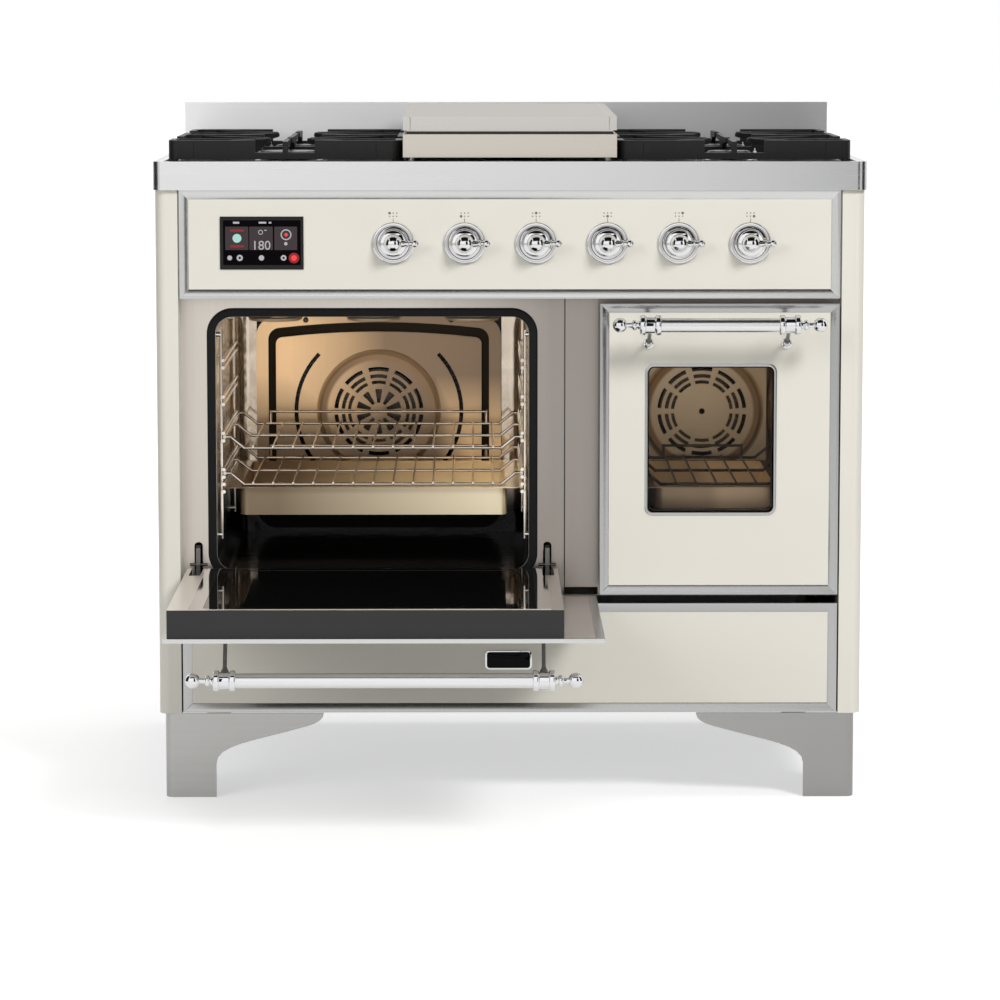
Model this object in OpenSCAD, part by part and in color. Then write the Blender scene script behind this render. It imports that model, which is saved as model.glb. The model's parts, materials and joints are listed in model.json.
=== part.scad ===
// Dual fuel range cooker: gas hob with a lidded griddle over two electric ovens and a storage drawer.
// Millimetres, +Z up, front face towards -Y. The left oven door is modelled open, everything else is shut.

/* [Body] */
// Height of the legs, floor to the underside of the body
leg_h = 121; // [80:1:160]
// Width of a front leg at the floor
foot_w = 72; // [50:1:100]
// Thickness of the front legs' sheet
leg_t = 2.5; // [2:0.5:4]
// How far a front leg stands in from the side of the body
leg_in = 8; // [4:1:14]
// Depth of a front leg's side wall
leg_d = 90; // [50:1:120]
// Depth of the body, hob front edge to rear face
body_d = 652; // [620:1:700]
// Width of the rounded front post of each side panel
post_w = 32; // [24:1:45]
// Radius of the outer front corner of a side panel
post_r = 16; // [6:1:20]
// Thickness of the folded sheet of the casing
sheet_t = 1.5; // [1:0.1:2.5]
// How far the door and panel faces stand behind the hob front edge
face_y = 6; // [4:0.5:12]

/* [Doors] */
// Width of the left, main oven door
left_door_w = 585.5; // [560:0.5:620]
// Width of the right oven door
right_door_w = 336.5; // [320:0.5:360]
// Height of both doors
door_h = 412; // [400:1:440]
// Thickness of a door from trim face to inner glass
door_t = 43.5; // [41:0.5:50]
// Gap between the two doors
door_gap = 4; // [3:0.5:8]
// Gap between a door or panel and the side post beside it
side_gap = 2; // [1:0.5:4]
// Width of the steel trim round every front panel
trim_w = 13; // [10:0.5:18]
// How far a painted panel lies behind its trim
panel_drop = 4; // [2:0.5:5]
// Thickness of a painted front panel
panel_t = 2; // [1.2:0.1:2.5]
// Width of the window in the left door
left_window_w = 420; // [360:1:430]
// Width of the window in the right door
right_window_w = 181.5; // [150:0.5:200]
// Height of both windows
window_h = 210.5; // [180:0.5:250]
// Height of a window sill above the door's lower edge
window_sill = 114.5; // [100:0.5:130]
// How far the right window is off the centre of its door
right_window_shift = 12; // [0:1:20]
// Thickness of a glass pane
glass_t = 4; // [3:0.5:6]

/* [Hinges] */
// Height of the hinge pin above the door's lower edge
hinge_up = 8; // [7:0.5:12]
// Depth of the hinge pin behind the door's trim face
hinge_in = 17; // [16:0.5:18]
// Radius of the hinge pin
hinge_pin_r = 3; // [2.5:0.25:4]
// Thickness of a hinge arm
hinge_arm_t = 6; // [4:0.5:8]
// Radial clearance of a turning or sliding fit
run_clear = 0.05; // [0.02:0.01:0.08]

/* [Ovens] */
// Inner width of the left oven
left_oven_w = 443; // [400:1:450]
// Inner width of the right oven
right_oven_w = 236; // [220:1:240]
// Inner height of both ovens
oven_h = 361; // [340:0.5:365]
// Inner depth of both ovens, front frame to back wall
oven_d = 430; // [400:1:440]
// Corner radius of an oven
oven_r = 24; // [15:1:32]
// Height of the oven floor above the doors' lower edge
oven_up = 29; // [26:1:34]
// Width of the door seal round an oven mouth
seal_w = 12.5; // [10:0.5:14]
// How far the door seal stands out of the front frame
seal_out = 5; // [3:0.5:5]
// Thickness of the insulation round an oven
blanket_t = 20; // [12:1:22]
// Radius of a convection fan
fan_r = 62; // [50:1:64]
// Number of fan blades
fan_blades = 12; // [8:1:16]
// Depth of the air space between baffle plate and oven back wall
baffle_gap = 32; // [26:1:40]

/* [Racks] */
// Radius of the thick wires of racks and guides
wire_r = 2.5; // [2:0.25:3]
// Radius of the thin shelf wires
shelf_wire_r = 1.5; // [1:0.25:2]
// Pitch of the thin shelf wires
shelf_pitch = 28.5; // [20:0.5:40]
// Height of the upper shelf above the oven floor
upper_shelf_up = 172; // [160:1:200]
// Height of the lower shelf above the oven floor
lower_shelf_up = 120; // [118:1:130]
// How far the rim of the baking tray lies below the lower shelf
tray_under = 4.5; // [4.5:0.5:8]
// How far the ends of a shelf rise from its middle to the guides
shelf_rise = 16; // [12:1:20]
// Depth of the baking tray
tray_h = 40; // [25:1:50]

/* [Drawer] */
// Height of the drawer front
drawer_h = 156; // [140:1:180]
// Gap between drawer front and the doors above it
drawer_gap = 12.5; // [12.5:0.5:16]
// Depth of the drawer box, front to back
drawer_d = 520; // [450:1:540]

/* [Control panel] */
// Height of the control panel
control_h = 152; // [140:1:180]
// Gap between the doors and the control panel
control_gap = 7; // [5:0.5:10]
// Pitch of the control knobs
knob_pitch = 100; // [90:1:102]
// Distance of the first knob left of the middle of the cooker
first_knob = 163.5; // [150:0.5:180]
// Height of the knobs above the panel's lower edge
knob_up = 78; // [70:1:84]
// Radius of the bezel behind a knob
bezel_r = 29; // [24:0.5:32]
// How far a knob can be pushed in
knob_travel = 4; // [2:0.5:5]
// Width of the touch display
display_w = 117; // [90:1:130]
// Height of the touch display
display_h = 74; // [60:1:90]
// Distance of the display's middle from the panel's left end
display_in = 115.5; // [90:0.5:140]

/* [Handles] */
// Diameter of a door handle bar
bar_d = 20.5; // [16:0.5:26]
// Distance of a handle bar's centre from the door panel
bar_out = 58; // [45:1:62]
// Distance of a handle bar below the door's top edge
bar_down = 27; // [22:1:40]
// Distance between the brackets of the left door handle
left_bar_span = 424; // [380:1:450]
// Distance between the brackets of the right door handle
right_bar_span = 194; // [170:1:220]
// Diameter of the ball at each end of a handle
ball_d = 21; // [16:0.5:26]

/* [Hob] */
// Height of the steel rim round the hob
rim_h = 40; // [32:1:50]
// How far the rim stands out beside the body
rim_out = 2; // [1:0.5:6]
// Corner radius of the rim
rim_r = 14; // [8:1:24]
// Depth of the pressed well that holds the burners
well_d = 6; // [4:0.5:10]
// Width of a cast iron pan support
grate_w = 328; // [300:1:330]
// Height of the pan supports' top above the hob
grate_up = 28; // [24:1:36]
// Thickness of a pan support's bars
grate_bar = 9; // [6:0.5:12]
// Width of the griddle
griddle_w = 300; // [260:1:302]
// Height of the griddle tray's wall
griddle_h = 32.5; // [25:0.5:38]
// Height of the griddle lid's front
lid_h = 19.5; // [15:0.5:30]
// How much the griddle lid rises towards the back
lid_rise = 5; // [0:0.5:8]
// Height of the backguard above the hob
backguard_h = 68; // [50:1:120]

/* [Hidden] */
$fn = 48;
// Gap left where one piece rests on or runs along another
seat = 0.3;

// Widths, from the doors outwards
doors_w = left_door_w + door_gap + right_door_w;
opening_w = doors_w + 2 * side_gap;
body_w = opening_w + 2 * post_w;
hob_w = body_w + 2 * rim_out;
left_x0 = -doors_w / 2;
left_x1 = left_x0 + left_door_w;
right_x0 = left_x1 + door_gap;
right_x1 = right_x0 + right_door_w;

// Heights, from the floor upwards
foot_gap = 1.5;
drawer_z0 = leg_h + foot_gap;
drawer_z1 = drawer_z0 + drawer_h;
door_z0 = drawer_z1 + drawer_gap;
door_z1 = door_z0 + door_h;
control_z0 = door_z1 + control_gap;
control_z1 = control_z0 + control_h;
hob_z = control_z1 + rim_h;
floor_z = door_z0 + oven_up;
roof_z = floor_z + oven_h;
well_z = hob_z - well_d;
deck_z = door_z0 - 8;

// Depths, from the hob's front edge backwards
panel_y = face_y + panel_drop;
core_y = panel_y + panel_t;
glass_y = face_y + door_t;
frame_y = glass_y + seal_out + 0.5;
oven_y0 = frame_y + sheet_t;
oven_y1 = frame_y + oven_d;
guard_t = 12;
guard_y = body_d - guard_t;
back_y = guard_y - 2 * sheet_t;
hinge_y = face_y + hinge_in;
hinge_z = door_z0 + hinge_up;
door_reach = door_z1 - hinge_z - hinge_y;
middle_y = (body_d - door_reach) / 2;

// Side posts and the drawer's housing
foot_screw_l = 14;
post_d = frame_y + 16;
back_fold = 15;
housing_y = core_y + 4;
bearer_h = 110;
skin_x = body_w / 2 - sheet_t;
rail_z = drawer_z0 + 70;
rail_h = 30;
rail_t = 1.5;
rail_w = 14;
rail_l = 530;
box_x = opening_w / 2 - rail_w - 4;
box_z0 = drawer_z0 + 12;
box_z1 = drawer_z0 + 112;

// Door cores and the ovens behind them
core_side = 6;
core_foot = 2;
left_core_w = left_door_w - 60.5;
left_core_x = left_x0 + core_side + left_core_w / 2;
right_core_x = (right_x0 + right_x1) / 2;
right_core_w = right_door_w - 2 * core_side;
pane_in = 31;
left_pane_w = left_core_w - 2 * pane_in;
right_pane_w = right_core_w - 2 * pane_in;
pane_z0 = floor_z - seal_w + 4;
pane_z1 = door_z1 - core_side - 10;
left_window_x = (left_x0 + left_x1) / 2;
right_window_x = (right_x0 + right_x1) / 2 - right_window_shift;
hinge_side = 14.5;
hinge_slot_w = 16;
hinge_up_h = 58;
hinge_slot_h = 72;
left_hinges = [for (s = [-1, 1]) left_core_x + s * (left_core_w / 2 - hinge_side)];
right_hinges = [for (s = [-1, 1]) right_core_x + s * (right_core_w / 2 - hinge_side)];
liner_t = 1.2;
fan_up = 188;
fan_z = floor_z + fan_up;
baffle_y = oven_y1 - baffle_gap;
shaft_r = 4;
hub_r = 9;
baffle_t = 1.2;
baffle_z0 = floor_z + 10;
baffle_z1 = roof_z - 29.5;
dish_r = 94;
grille_r = 78;
motor_r = 36;
lamp_r = 14;
lamp_l = 30;
lamp_in = 42;
lamp_y = oven_y0 + oven_d * 0.6;

// Racks
post_in = 5;
guide_in = post_in + 2 * wire_r - 1;
runner_in = post_in + 2 * wire_r + seat;
guide_gap = 2 * wire_r + seat;
upper_runner_z = floor_z + upper_shelf_up + shelf_rise;
lower_runner_z = floor_z + lower_shelf_up + shelf_rise;
tray_z = floor_z + lower_shelf_up - tray_under;
tray_t = 1;
tray_runner_z = tray_z - tray_t / 2;
level_pitch = upper_runner_z - lower_runner_z;
spare_levels = 2;
ladder_z0 = floor_z + 40;
ladder_z1 = roof_z - 22;
rack_y0 = frame_y + 20;
rack_y1 = baffle_y - 23;
shelf_side = 39;

// Hob
grate_x = griddle_w / 2 + grate_w / 2 + 2;
grate_y0 = 46;
grate_l = 530;
grate_z = hob_z + 1.5;
grate_top = hob_z + grate_up;
burner_rows = [grate_y0 + grate_l / 4, grate_y0 + grate_l * 3 / 4];
burner_columns = [-grate_x, 0, grate_x];
cap_radii = [[46, 32], [34, 34], [32, 40]];
hob_t = 1.2;
well_side = 16;
well_front = 20;
griddle_y0 = 28;
griddle_l = 565;
griddle_z = hob_z + 4.5;
griddle_t = 2;
lid_gap = 5.5;
lid_z = griddle_z + griddle_h + lid_gap;

// Controls
knob_z = control_z0 + knob_up;
knob_xs = [for (i = [0:5]) -first_knob + i * knob_pitch];
display_x = left_x0 + display_in;
display_t = 28;
stem_r = 4;
stem_y0 = -6;
stem_y1 = 66;
valve_y = 42;
valve_r = 13;
manifold_y = 88;
manifold_r = 9;
inlet_r = 10.48;
inlet_l = 12;
inlet_x = opening_w / 2 - 90;
inlet_z = 560;
gland_x = -inlet_x;
gland_r = 8.5;

// Points on an arc about [cx, cy] from angle a0 to a1 in n steps
function arc(cx, cy, r, a0, a1, n = 6) =
    [for (i = [0:n]) let (a = a0 + (a1 - a0) * i / n) [cx + r * cos(a), cy + r * sin(a)]];

// A point on the cubic curve through four control points
function cubic(p, t) =
    pow(1 - t, 3) * p[0] + 3 * t * pow(1 - t, 2) * p[1] + 3 * t * t * (1 - t) * p[2] + pow(t, 3) * p[3];

// Everything is drawn from the hob's front edge, then moved so that the origin is under the middle
module in_frame() translate([0, -middle_y, 0]) children();

// A plate that stands across the cooker: its outline is in X and Z, its thickness runs from y0 to y1
module across(y0, y1) translate([0, y1, 0]) rotate([90, 0, 0]) linear_extrude(y1 - y0) children();

// A plate that stands along the cooker: its outline is in Y and Z, its thickness runs from x0 to x1
module along(x0, x1) translate([x0, 0, 0]) rotate([90, 0, 90]) linear_extrude(x1 - x0) children();

// A level plate: its outline is in X and Y, its thickness runs from z0 to z1
module level(z0, z1) translate([0, 0, z0]) linear_extrude(z1 - z0) children();

module block(x0, x1, y0, y1, z0, z1) translate([x0, y0, z0]) cube([x1 - x0, y1 - y0, z1 - z0]);

module rod_x(x0, x1, y, z, r) translate([x0, y, z]) rotate([0, 90, 0]) cylinder(h = x1 - x0, r = r);

module rod_y(x, y0, y1, z, r) translate([x, y0, z]) rotate([-90, 0, 0]) cylinder(h = y1 - y0, r = r);

module rod_z(x, y, z0, z1, r) translate([x, y, z0]) cylinder(h = z1 - z0, r = r);

// A straight wire between two points
module wire(a, b, r) {
    d = b - a;
    translate(a) rotate([0, acos(d[2] / norm(d)), atan2(d[1], d[0])]) cylinder(h = norm(d), r = r);
}

// Rectangle from [x0, y0] to [x1, y1]
module rect(x0, x1, y0, y1) translate([x0, y0]) square([x1 - x0, y1 - y0]);

// Rectangle with round corners
module rounded(x0, x1, y0, y1, r) {
    rect(x0 + r, x1 - r, y0, y1);
    rect(x0, x1, y0 + r, y1 - r);
    for (x = [x0 + r, x1 - r], y = [y0 + r, y1 - r]) translate([x, y]) circle(r);
}

// Swings a closed door about its hinge pin until it lies open
module opened() translate([0, hinge_y, hinge_z]) rotate([90, 0, 0]) translate([0, -hinge_y, -hinge_z]) children();

// A pocket whose four sides slope: [x0, x1, z0, z1] at y0 and s further in at y1
module sloped_pocket(x0, x1, z0, z1, y0, y1, s) intersection() {
    level(z0 - 1, z1 + 1) polygon([[x0, y0], [x1, y0], [x1 - s, y1], [x0 + s, y1]]);
    along(x0 - 1, x1 + 1) polygon([[y0, z0], [y0, z1], [y1, z1 - s], [y1, z0 + s]]);
}

// Bevelled steel trim: a flat lip outside, then a slope down to the painted panel
module trim(x0, x1, z0, z1) {
    lip = trim_w * 0.4;
    slope = (trim_w - lip) / panel_drop;
    start = lip - slope;
    difference() {
        block(x0, x1, face_y, core_y, z0, z1);
        block(x0 + trim_w, x1 - trim_w, face_y - 1, core_y + 1, z0 + trim_w, z1 - trim_w);
        sloped_pocket(x0 + start, x1 - start, z0 + start, z1 - start, face_y - 1, panel_y + 1,
            slope * (panel_drop + 2));
    }
}

// Painted panel that fills a trim
module panel(x0, x1, z0, z1) block(x0 + trim_w, x1 - trim_w, panel_y, core_y, z0 + trim_w, z1 - trim_w);

// Casing

// Outline of a side panel seen from above, t inside its skin
module side_outline(t) {
    x0 = opening_w / 2 + t;
    x1 = body_w / 2 - t;
    y0 = face_y + t;
    r = post_r - t;
    rect(x0, x1 - r, y0, guard_y - t);
    rect(x0, x1, y0 + r, guard_y - t);
    translate([x1 - r, y0 + r]) circle(r);
}

// Side panel with its round front post and a folded rear edge
module side_panel() level(leg_h, control_z1) difference() {
    side_outline(0);
    side_outline(sheet_t);
    rect(opening_w / 2 - 1, body_w / 2 - back_fold, post_d, guard_y + 1);
}

module side_panels() in_frame() color("ivory") for (m = [0, 1]) mirror([m, 0, 0]) side_panel();

// Floor pan with its bearers, and the deck that parts the drawer from the ovens
module drawer_housing() in_frame() color("silver") {
    half = opening_w / 2;
    union() {
        block(-half, half, housing_y, back_y, leg_h, leg_h + sheet_t);
        block(-skin_x, skin_x, post_d, back_y, leg_h, leg_h + sheet_t);
        for (m = [0, 1]) mirror([m, 0, 0]) {
            block(half, half + sheet_t, post_d, back_y, leg_h, leg_h + bearer_h);
            block(skin_x - sheet_t, skin_x, post_d, back_y, leg_h, leg_h + back_fold);
        }
    }
    union() {
        block(-half, half, frame_y, post_d, deck_z, deck_z + sheet_t);
        block(-skin_x, skin_x, post_d, back_y, deck_z, deck_z + sheet_t);
    }
}

// Channels that carry the drawer's runners
module drawer_rails() in_frame() color("silver") for (m = [0, 1]) mirror([m, 0, 0]) {
    x1 = opening_w / 2;
    difference() {
        block(x1 - rail_w, x1, post_d, post_d + rail_l, rail_z - rail_h / 2, rail_z + rail_h / 2);
        block(x1 - rail_w - 1, x1 - rail_t, post_d - 1, post_d + rail_l + 1,
            rail_z - rail_h / 2 + rail_t, rail_z + rail_h / 2 - rail_t);
    }
}

// Rear sheet with cooling slots, a cable gland and the hole for the gas inlet
module back_panel() in_frame() color("lightgrey") {
    slot_w = 70;
    slot_h = 6;
    gland_l = 10;
    difference() {
        union() {
            block(-skin_x, skin_x, back_y, back_y + sheet_t, leg_h, control_z1);
            rod_y(gland_x, back_y, back_y + sheet_t + gland_l, inlet_z, gland_r + 5);
        }
        rod_y(gland_x, back_y - 1, back_y + sheet_t + gland_l + 1, inlet_z, gland_r);
        rod_y(inlet_x, back_y - 1, back_y + sheet_t + 1, inlet_z, manifold_r + 6);
        for (column = [-2:2], row = [0:4])
            across(back_y - 1, back_y + sheet_t + 1) {
                x = column * slot_w * 1.6;
                z = roof_z + 60 + row * slot_h * 3;
                rect(x - slot_w / 2, x + slot_w / 2, z, z + slot_h);
            }
    }
}

// Stainless plate in front of the ovens with their mouths, the hinge slots and the middle rib
module front_frame() in_frame() color("silver") {
    half = opening_w / 2;
    rib_x0 = left_core_x + left_core_w / 2 + 10;
    rib_t = 6;
    flange = 45;
    slot_in = hinge_arm_t / 2 + 3;
    lip = 4;
    difference() {
        union() {
            block(-half, half, frame_y, oven_y0, deck_z + sheet_t, control_z0);
            block(-half, half, frame_y, frame_y + flange, control_z0 - sheet_t, control_z0);
            block(rib_x0, right_x0 - 1, frame_y - rib_t, frame_y, door_z0 + 3.5 * lip, control_z0);
        }
        oven_mouth(left_core_x, left_oven_w);
        oven_mouth(right_core_x, right_oven_w);
        for (x = concat(left_hinges, right_hinges)) across(frame_y - 1, oven_y0 + 1)
            rounded(x - slot_in, x + slot_in, hinge_z + 4, hinge_z + hinge_up_h + 3, slot_in - 0.5);
        block(rib_x0, right_x0 - 1, frame_y - 1, oven_y0 + 1, deck_z, door_z0 + lip);
    }
}

// Opening of an oven in the front frame
module oven_mouth(x, w) across(frame_y - 10, oven_y0 + 1)
    rounded(x - w / 2, x + w / 2, floor_z, roof_z, oven_r);

// Front legs whose inner edges sweep up in an arch, and plain round legs behind
module legs() in_frame() color("silver") {
    leg_x = body_w / 2 - leg_in;
    leg_y0 = face_y + 4;
    low = [[foot_w, leg_h * 0.4], [foot_w, leg_h * 0.62], [foot_w + 50, leg_h * 0.66], [foot_w + 128, leg_h * 0.84]];
    high = [low[3], [foot_w + 145, leg_h * 0.88], [foot_w + 153, leg_h * 0.93], [foot_w + 153, leg_h]];
    edge = concat([[0, 0], [foot_w, 0]], [for (i = [0:7]) cubic(low, i / 8)],
        [for (i = [0:4]) cubic(high, i / 4)], [[0, leg_h]]);
    for (m = [0, 1]) mirror([m, 0, 0]) {
        intersection() {
            across(leg_y0, leg_y0 + leg_d) translate([leg_x, 0]) mirror([1, 0]) polygon(edge);
            level(0, leg_h) difference() {
                leg_outline(leg_x, leg_y0, 0);
                leg_outline(leg_x, leg_y0, leg_t);
            }
        }
        rod_z(leg_x - 40, back_y - 45, foot_screw_l, leg_h, 19);
        rod_z(leg_x - 40, back_y - 45, 0, foot_screw_l, 14);
    }
}

// Outline of a front leg seen from above, t inside its skin
module leg_outline(x1, y0, t) {
    r = 12 - t;
    x = x1 - t;
    y = y0 + t;
    y1 = y0 + 2 * leg_d;
    rect(0, x - r, y, y1);
    rect(0, x, y + r, y1);
    translate([x - r, y + r]) circle(r);
}

// Control panel

// Painted panel on a support sheet that is folded against the side posts
module control_panel() in_frame() color("ivory") {
    half = opening_w / 2;
    difference() {
        union() {
            panel(left_x0, right_x1, control_z0, control_z1);
            block(-half, half, core_y, core_y + sheet_t, control_z0 + 2, control_z1 - 2);
            for (m = [0, 1]) mirror([m, 0, 0])
                block(half - sheet_t, half, core_y, post_d, control_z0 + 2, control_z1 - 2);
        }
        for (x = knob_xs) rod_y(x, panel_y - 1, core_y + sheet_t + 1, knob_z, stem_r + 2);
        block(display_x - display_w / 2, display_x + display_w / 2, panel_y - 1, core_y + sheet_t + 1,
            knob_z - display_h / 2, knob_z + display_h / 2);
    }
}

module control_trim() in_frame() color("silver") trim(left_x0, right_x1, control_z0, control_z1);

// Touch display set in the panel, with its housing behind
module touch_display() in_frame() color("black") union() {
    display_block(0, panel_y - 0.5, core_y + sheet_t);
    display_block(-4, core_y + sheet_t, core_y + display_t);
}

// Block behind the display's face, grown by g on every side
module display_block(g, y0, y1) block(display_x - display_w / 2 - g, display_x + display_w / 2 + g, y0, y1,
    knob_z - display_h / 2 - g, knob_z + display_h / 2 + g);

// Chrome skirt round each knob: a raised rim and a domed step
module knob_bezels() in_frame() color("silver") for (x = knob_xs)
    translate([x, panel_y, knob_z]) rotate([90, 0, 0]) rotate_extrude() polygon([
        [stem_r + 2, 0], [bezel_r - 1.5, 0], [bezel_r, 1.5], [bezel_r, 3], [bezel_r - 1.5, 4.5],
        [bezel_r - 5, 4.5], [bezel_r - 7, 3], [bezel_r - 8.5, 3], [bezel_r - 8.5, 2.6], [stem_r + 2, 2.6]]);

// Stem of a gas valve, pushed in and turned by its knob
module valve_stem(i) in_frame() color("goldenrod") rod_y(knob_xs[i], stem_y0, stem_y1, knob_z, stem_r);

module valve_stem_1() valve_stem(0);
module valve_stem_2() valve_stem(1);
module valve_stem_3() valve_stem(2);
module valve_stem_4() valve_stem(3);
module valve_stem_5() valve_stem(4);
module valve_stem_6() valve_stem(5);

// Knob: a stepped ring, a dome and a lever that points right when the gas is off
module knob(i) in_frame() color("silver") {
    ring_r = 18.5;
    dome_r = 12.5;
    base = 0;
    lever_l = 36;
    translate([knob_xs[i], 0, knob_z]) rotate([90, 0, 0]) difference() {
        union() {
            rotate_extrude() polygon(concat(
                [[0, base], [ring_r - 2, base], [ring_r, base + 2], [ring_r, base + 6], [ring_r - 3, base + 9],
                    [dome_r + 1.5, base + 9.6], [dome_r, base + 11], [dome_r, base + 16]],
                [for (a = [15:15:90]) [dome_r * cos(a), base + 16 + 7 * sin(a)]]));
            translate([0, 0, base + 11]) rotate([0, 90, 0]) cylinder(h = lever_l - 7, r1 = 5, r2 = 3.4);
            translate([lever_l - 7, 0, base + 11]) sphere(r = 5);
        }
        translate([0, 0, base - 1]) cylinder(h = 1 - stem_y0 + run_clear, r = stem_r + run_clear);
    }
}

module knob_1() knob(0);
module knob_2() knob(1);
module knob_3() knob(2);
module knob_4() knob(3);
module knob_5() knob(4);
module knob_6() knob(5);

// Gas rail with six valves, its brackets and the pipe to the inlet at the back
module gas_manifold() in_frame() color("goldenrod") difference() {
    x0 = knob_xs[0] - 20;
    x1 = inlet_x;
    elbow_r = manifold_r + 2;
    union() {
        rod_x(x0, x1, manifold_y, knob_z, manifold_r);
        for (x = knob_xs) {
            rod_y(x, valve_y, manifold_y, knob_z, valve_r);
            rod_y(x, valve_y, valve_y + 8, knob_z, valve_r + 5);
        }
        rod_y(x1, manifold_y, back_y - 40, knob_z, manifold_r);
        translate([x1, manifold_y, knob_z]) sphere(r = elbow_r);
        translate([x1, back_y - 40, knob_z]) sphere(r = elbow_r);
        rod_z(x1, back_y - 40, inlet_z, knob_z, manifold_r);
        translate([x1, back_y - 40, inlet_z]) sphere(r = elbow_r);
        rod_y(x1, back_y - 40, back_y, inlet_z, manifold_r);
        rod_y(x1, back_y - 6, back_y, inlet_z, manifold_r + 9);
        rod_y(x1, back_y, back_y + 2 * sheet_t + inlet_l - 3, inlet_z, inlet_r);
        for (x = [knob_xs[0] + 50, knob_xs[5] - 50])
            block(x - 10, x + 10, manifold_y - 8, manifold_y + 8, control_z0, knob_z);
    }
    for (x = knob_xs) rod_y(x, valve_y - 1, stem_y1 + knob_travel + 2, knob_z, stem_r + run_clear);
}

// Hob

// Pressed steel hob: a rim with a folded foot, a level top and a sunken well with a hole for each burner
module hob_top() in_frame() color("silver") difference() {
    x = hob_w / 2;
    foot_in = 14;
    union() {
        difference() {
            level(control_z1, hob_z) rounded(-x, x, 0, guard_y, rim_r);
            level(control_z1 + hob_t, hob_z - hob_t)
                rounded(-x + hob_t, x - hob_t, hob_t, guard_y - hob_t, rim_r - hob_t);
            level(control_z1 - 1, control_z1 + hob_t + 1)
                rect(-body_w / 2 + foot_in, body_w / 2 - foot_in, foot_in, guard_y - foot_in);
        }
        level(well_z - hob_t, hob_z - hob_t / 2) well_outline(hob_t);
    }
    level(well_z, hob_z + 1) well_outline(0);
    for (column = [0:2], row = [0:1])
        rod_z(burner_columns[column], burner_rows[row], well_z - hob_t - 1, well_z + 1, cap_radii[column][row] - 8);
}

// Outline of the hob's well, grown by g
module well_outline(g) rounded(-hob_w / 2 + well_side - g, hob_w / 2 - well_side + g,
    well_front - g, guard_y - 14 + g, 10 + g);

// Folded upstand behind the hob, open at the back
module backguard() in_frame() color("silver") {
    x = body_w / 2;
    z0 = hob_z - 24;
    z1 = hob_z + backguard_h;
    difference() {
        block(-x, x, guard_y, body_d, z0, z1);
        block(-x + sheet_t, x - sheet_t, guard_y + sheet_t, body_d + 1, z0 - 1, z1 - sheet_t);
    }
}

// Aluminium burner bodies: a cup through the hob, a flange and a slotted flame ring
module burner_bodies() in_frame() color("silver") for (column = [0:2], row = [0:1]) {
    r = cap_radii[column][row];
    slots = 16;
    ring_h = 9;
    translate([burner_columns[column], burner_rows[row], well_z]) difference() {
        rotate_extrude() polygon([[0, -26], [10, -26], [12, -20], [r - 10, -8], [r - 10, 0], [r + 3, 0],
            [r + 3, 2], [r - 3, 5], [r - 5, ring_h], [0, ring_h]]);
        for (i = [0:slots - 1]) rotate([0, 0, i * 360 / slots]) translate([r - 12, -1, 5.5]) cube([12, 2, ring_h]);
    }
}

// Enamelled burner caps with a rounded edge
module burner_caps() in_frame() color("black") for (column = [0:2], row = [0:1])
    translate([burner_columns[column], burner_rows[row], well_z + 9]) rotate_extrude()
        polygon([[0, 0], [cap_radii[column][row] - 2, 0], [cap_radii[column][row], 1.5],
            [cap_radii[column][row], 3.5], [cap_radii[column][row] - 3, 6], [0, 7]]);

// Griddle: a steel plate with a raised wall and feet, over the middle burners
module griddle() in_frame() color("silver") {
    x = griddle_w / 2;
    y1 = griddle_y0 + griddle_l;
    plate_z = griddle_z + griddle_h - 14;
    plate_t = 6;
    ledge = 10;
    top = griddle_z + griddle_h;
    difference() {
        block(-x, x, griddle_y0, y1, griddle_z, top);
        block(-x + griddle_t, x - griddle_t, griddle_y0 + griddle_t, y1 - griddle_t, griddle_z - 1, plate_z);
        block(-x + griddle_t, x - griddle_t, griddle_y0 + griddle_t, y1 - griddle_t,
            plate_z + plate_t, top - griddle_t);
        block(-x + ledge, x - ledge, griddle_y0 + ledge, y1 - ledge, top - griddle_t - 1, top + 1);
    }
    for (sx = [-1, 1], y = [griddle_y0 + 30, y1 - 30])
        rod_z(sx * (x - 12), y, well_z, plate_z, 5);
}

// Lid of the griddle: a shallow folded tray, upside down, that rises a little towards the back
module griddle_lid() in_frame() color("silver") {
    x = griddle_w / 2;
    y1 = griddle_y0 + griddle_l;
    skirt = 5;
    inner = skirt + sheet_t;
    seam_in = 10.5;
    seam = 0.8;
    difference() {
        union() {
            along(-x, x) lid_side(0, lid_z);
            block(-x + skirt, x - skirt, griddle_y0 + skirt, y1 - skirt, griddle_z + griddle_h + seat, lid_z + 1);
        }
        along(-x + sheet_t, x - sheet_t) lid_side(sheet_t, lid_z + 1);
        block(-x + inner, x - inner, griddle_y0 + inner, y1 - inner, griddle_z + griddle_h, lid_z + 2);
        for (sx = [-1, 1]) along(sx * (x - seam_in) - seam / 2, sx * (x - seam_in) + seam / 2) difference() {
            lid_side(-1, lid_z - 1);
            lid_side(seam, lid_z - 2);
        }
    }
}

// Side view of the griddle lid, t inside its skin and open below z0
module lid_side(t, z0) polygon([[griddle_y0 + t, z0], [griddle_y0 + griddle_l - t, z0],
    [griddle_y0 + griddle_l - t, lid_z + lid_h + lid_rise - t], [griddle_y0 + t, lid_z + lid_h - t]]);

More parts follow.
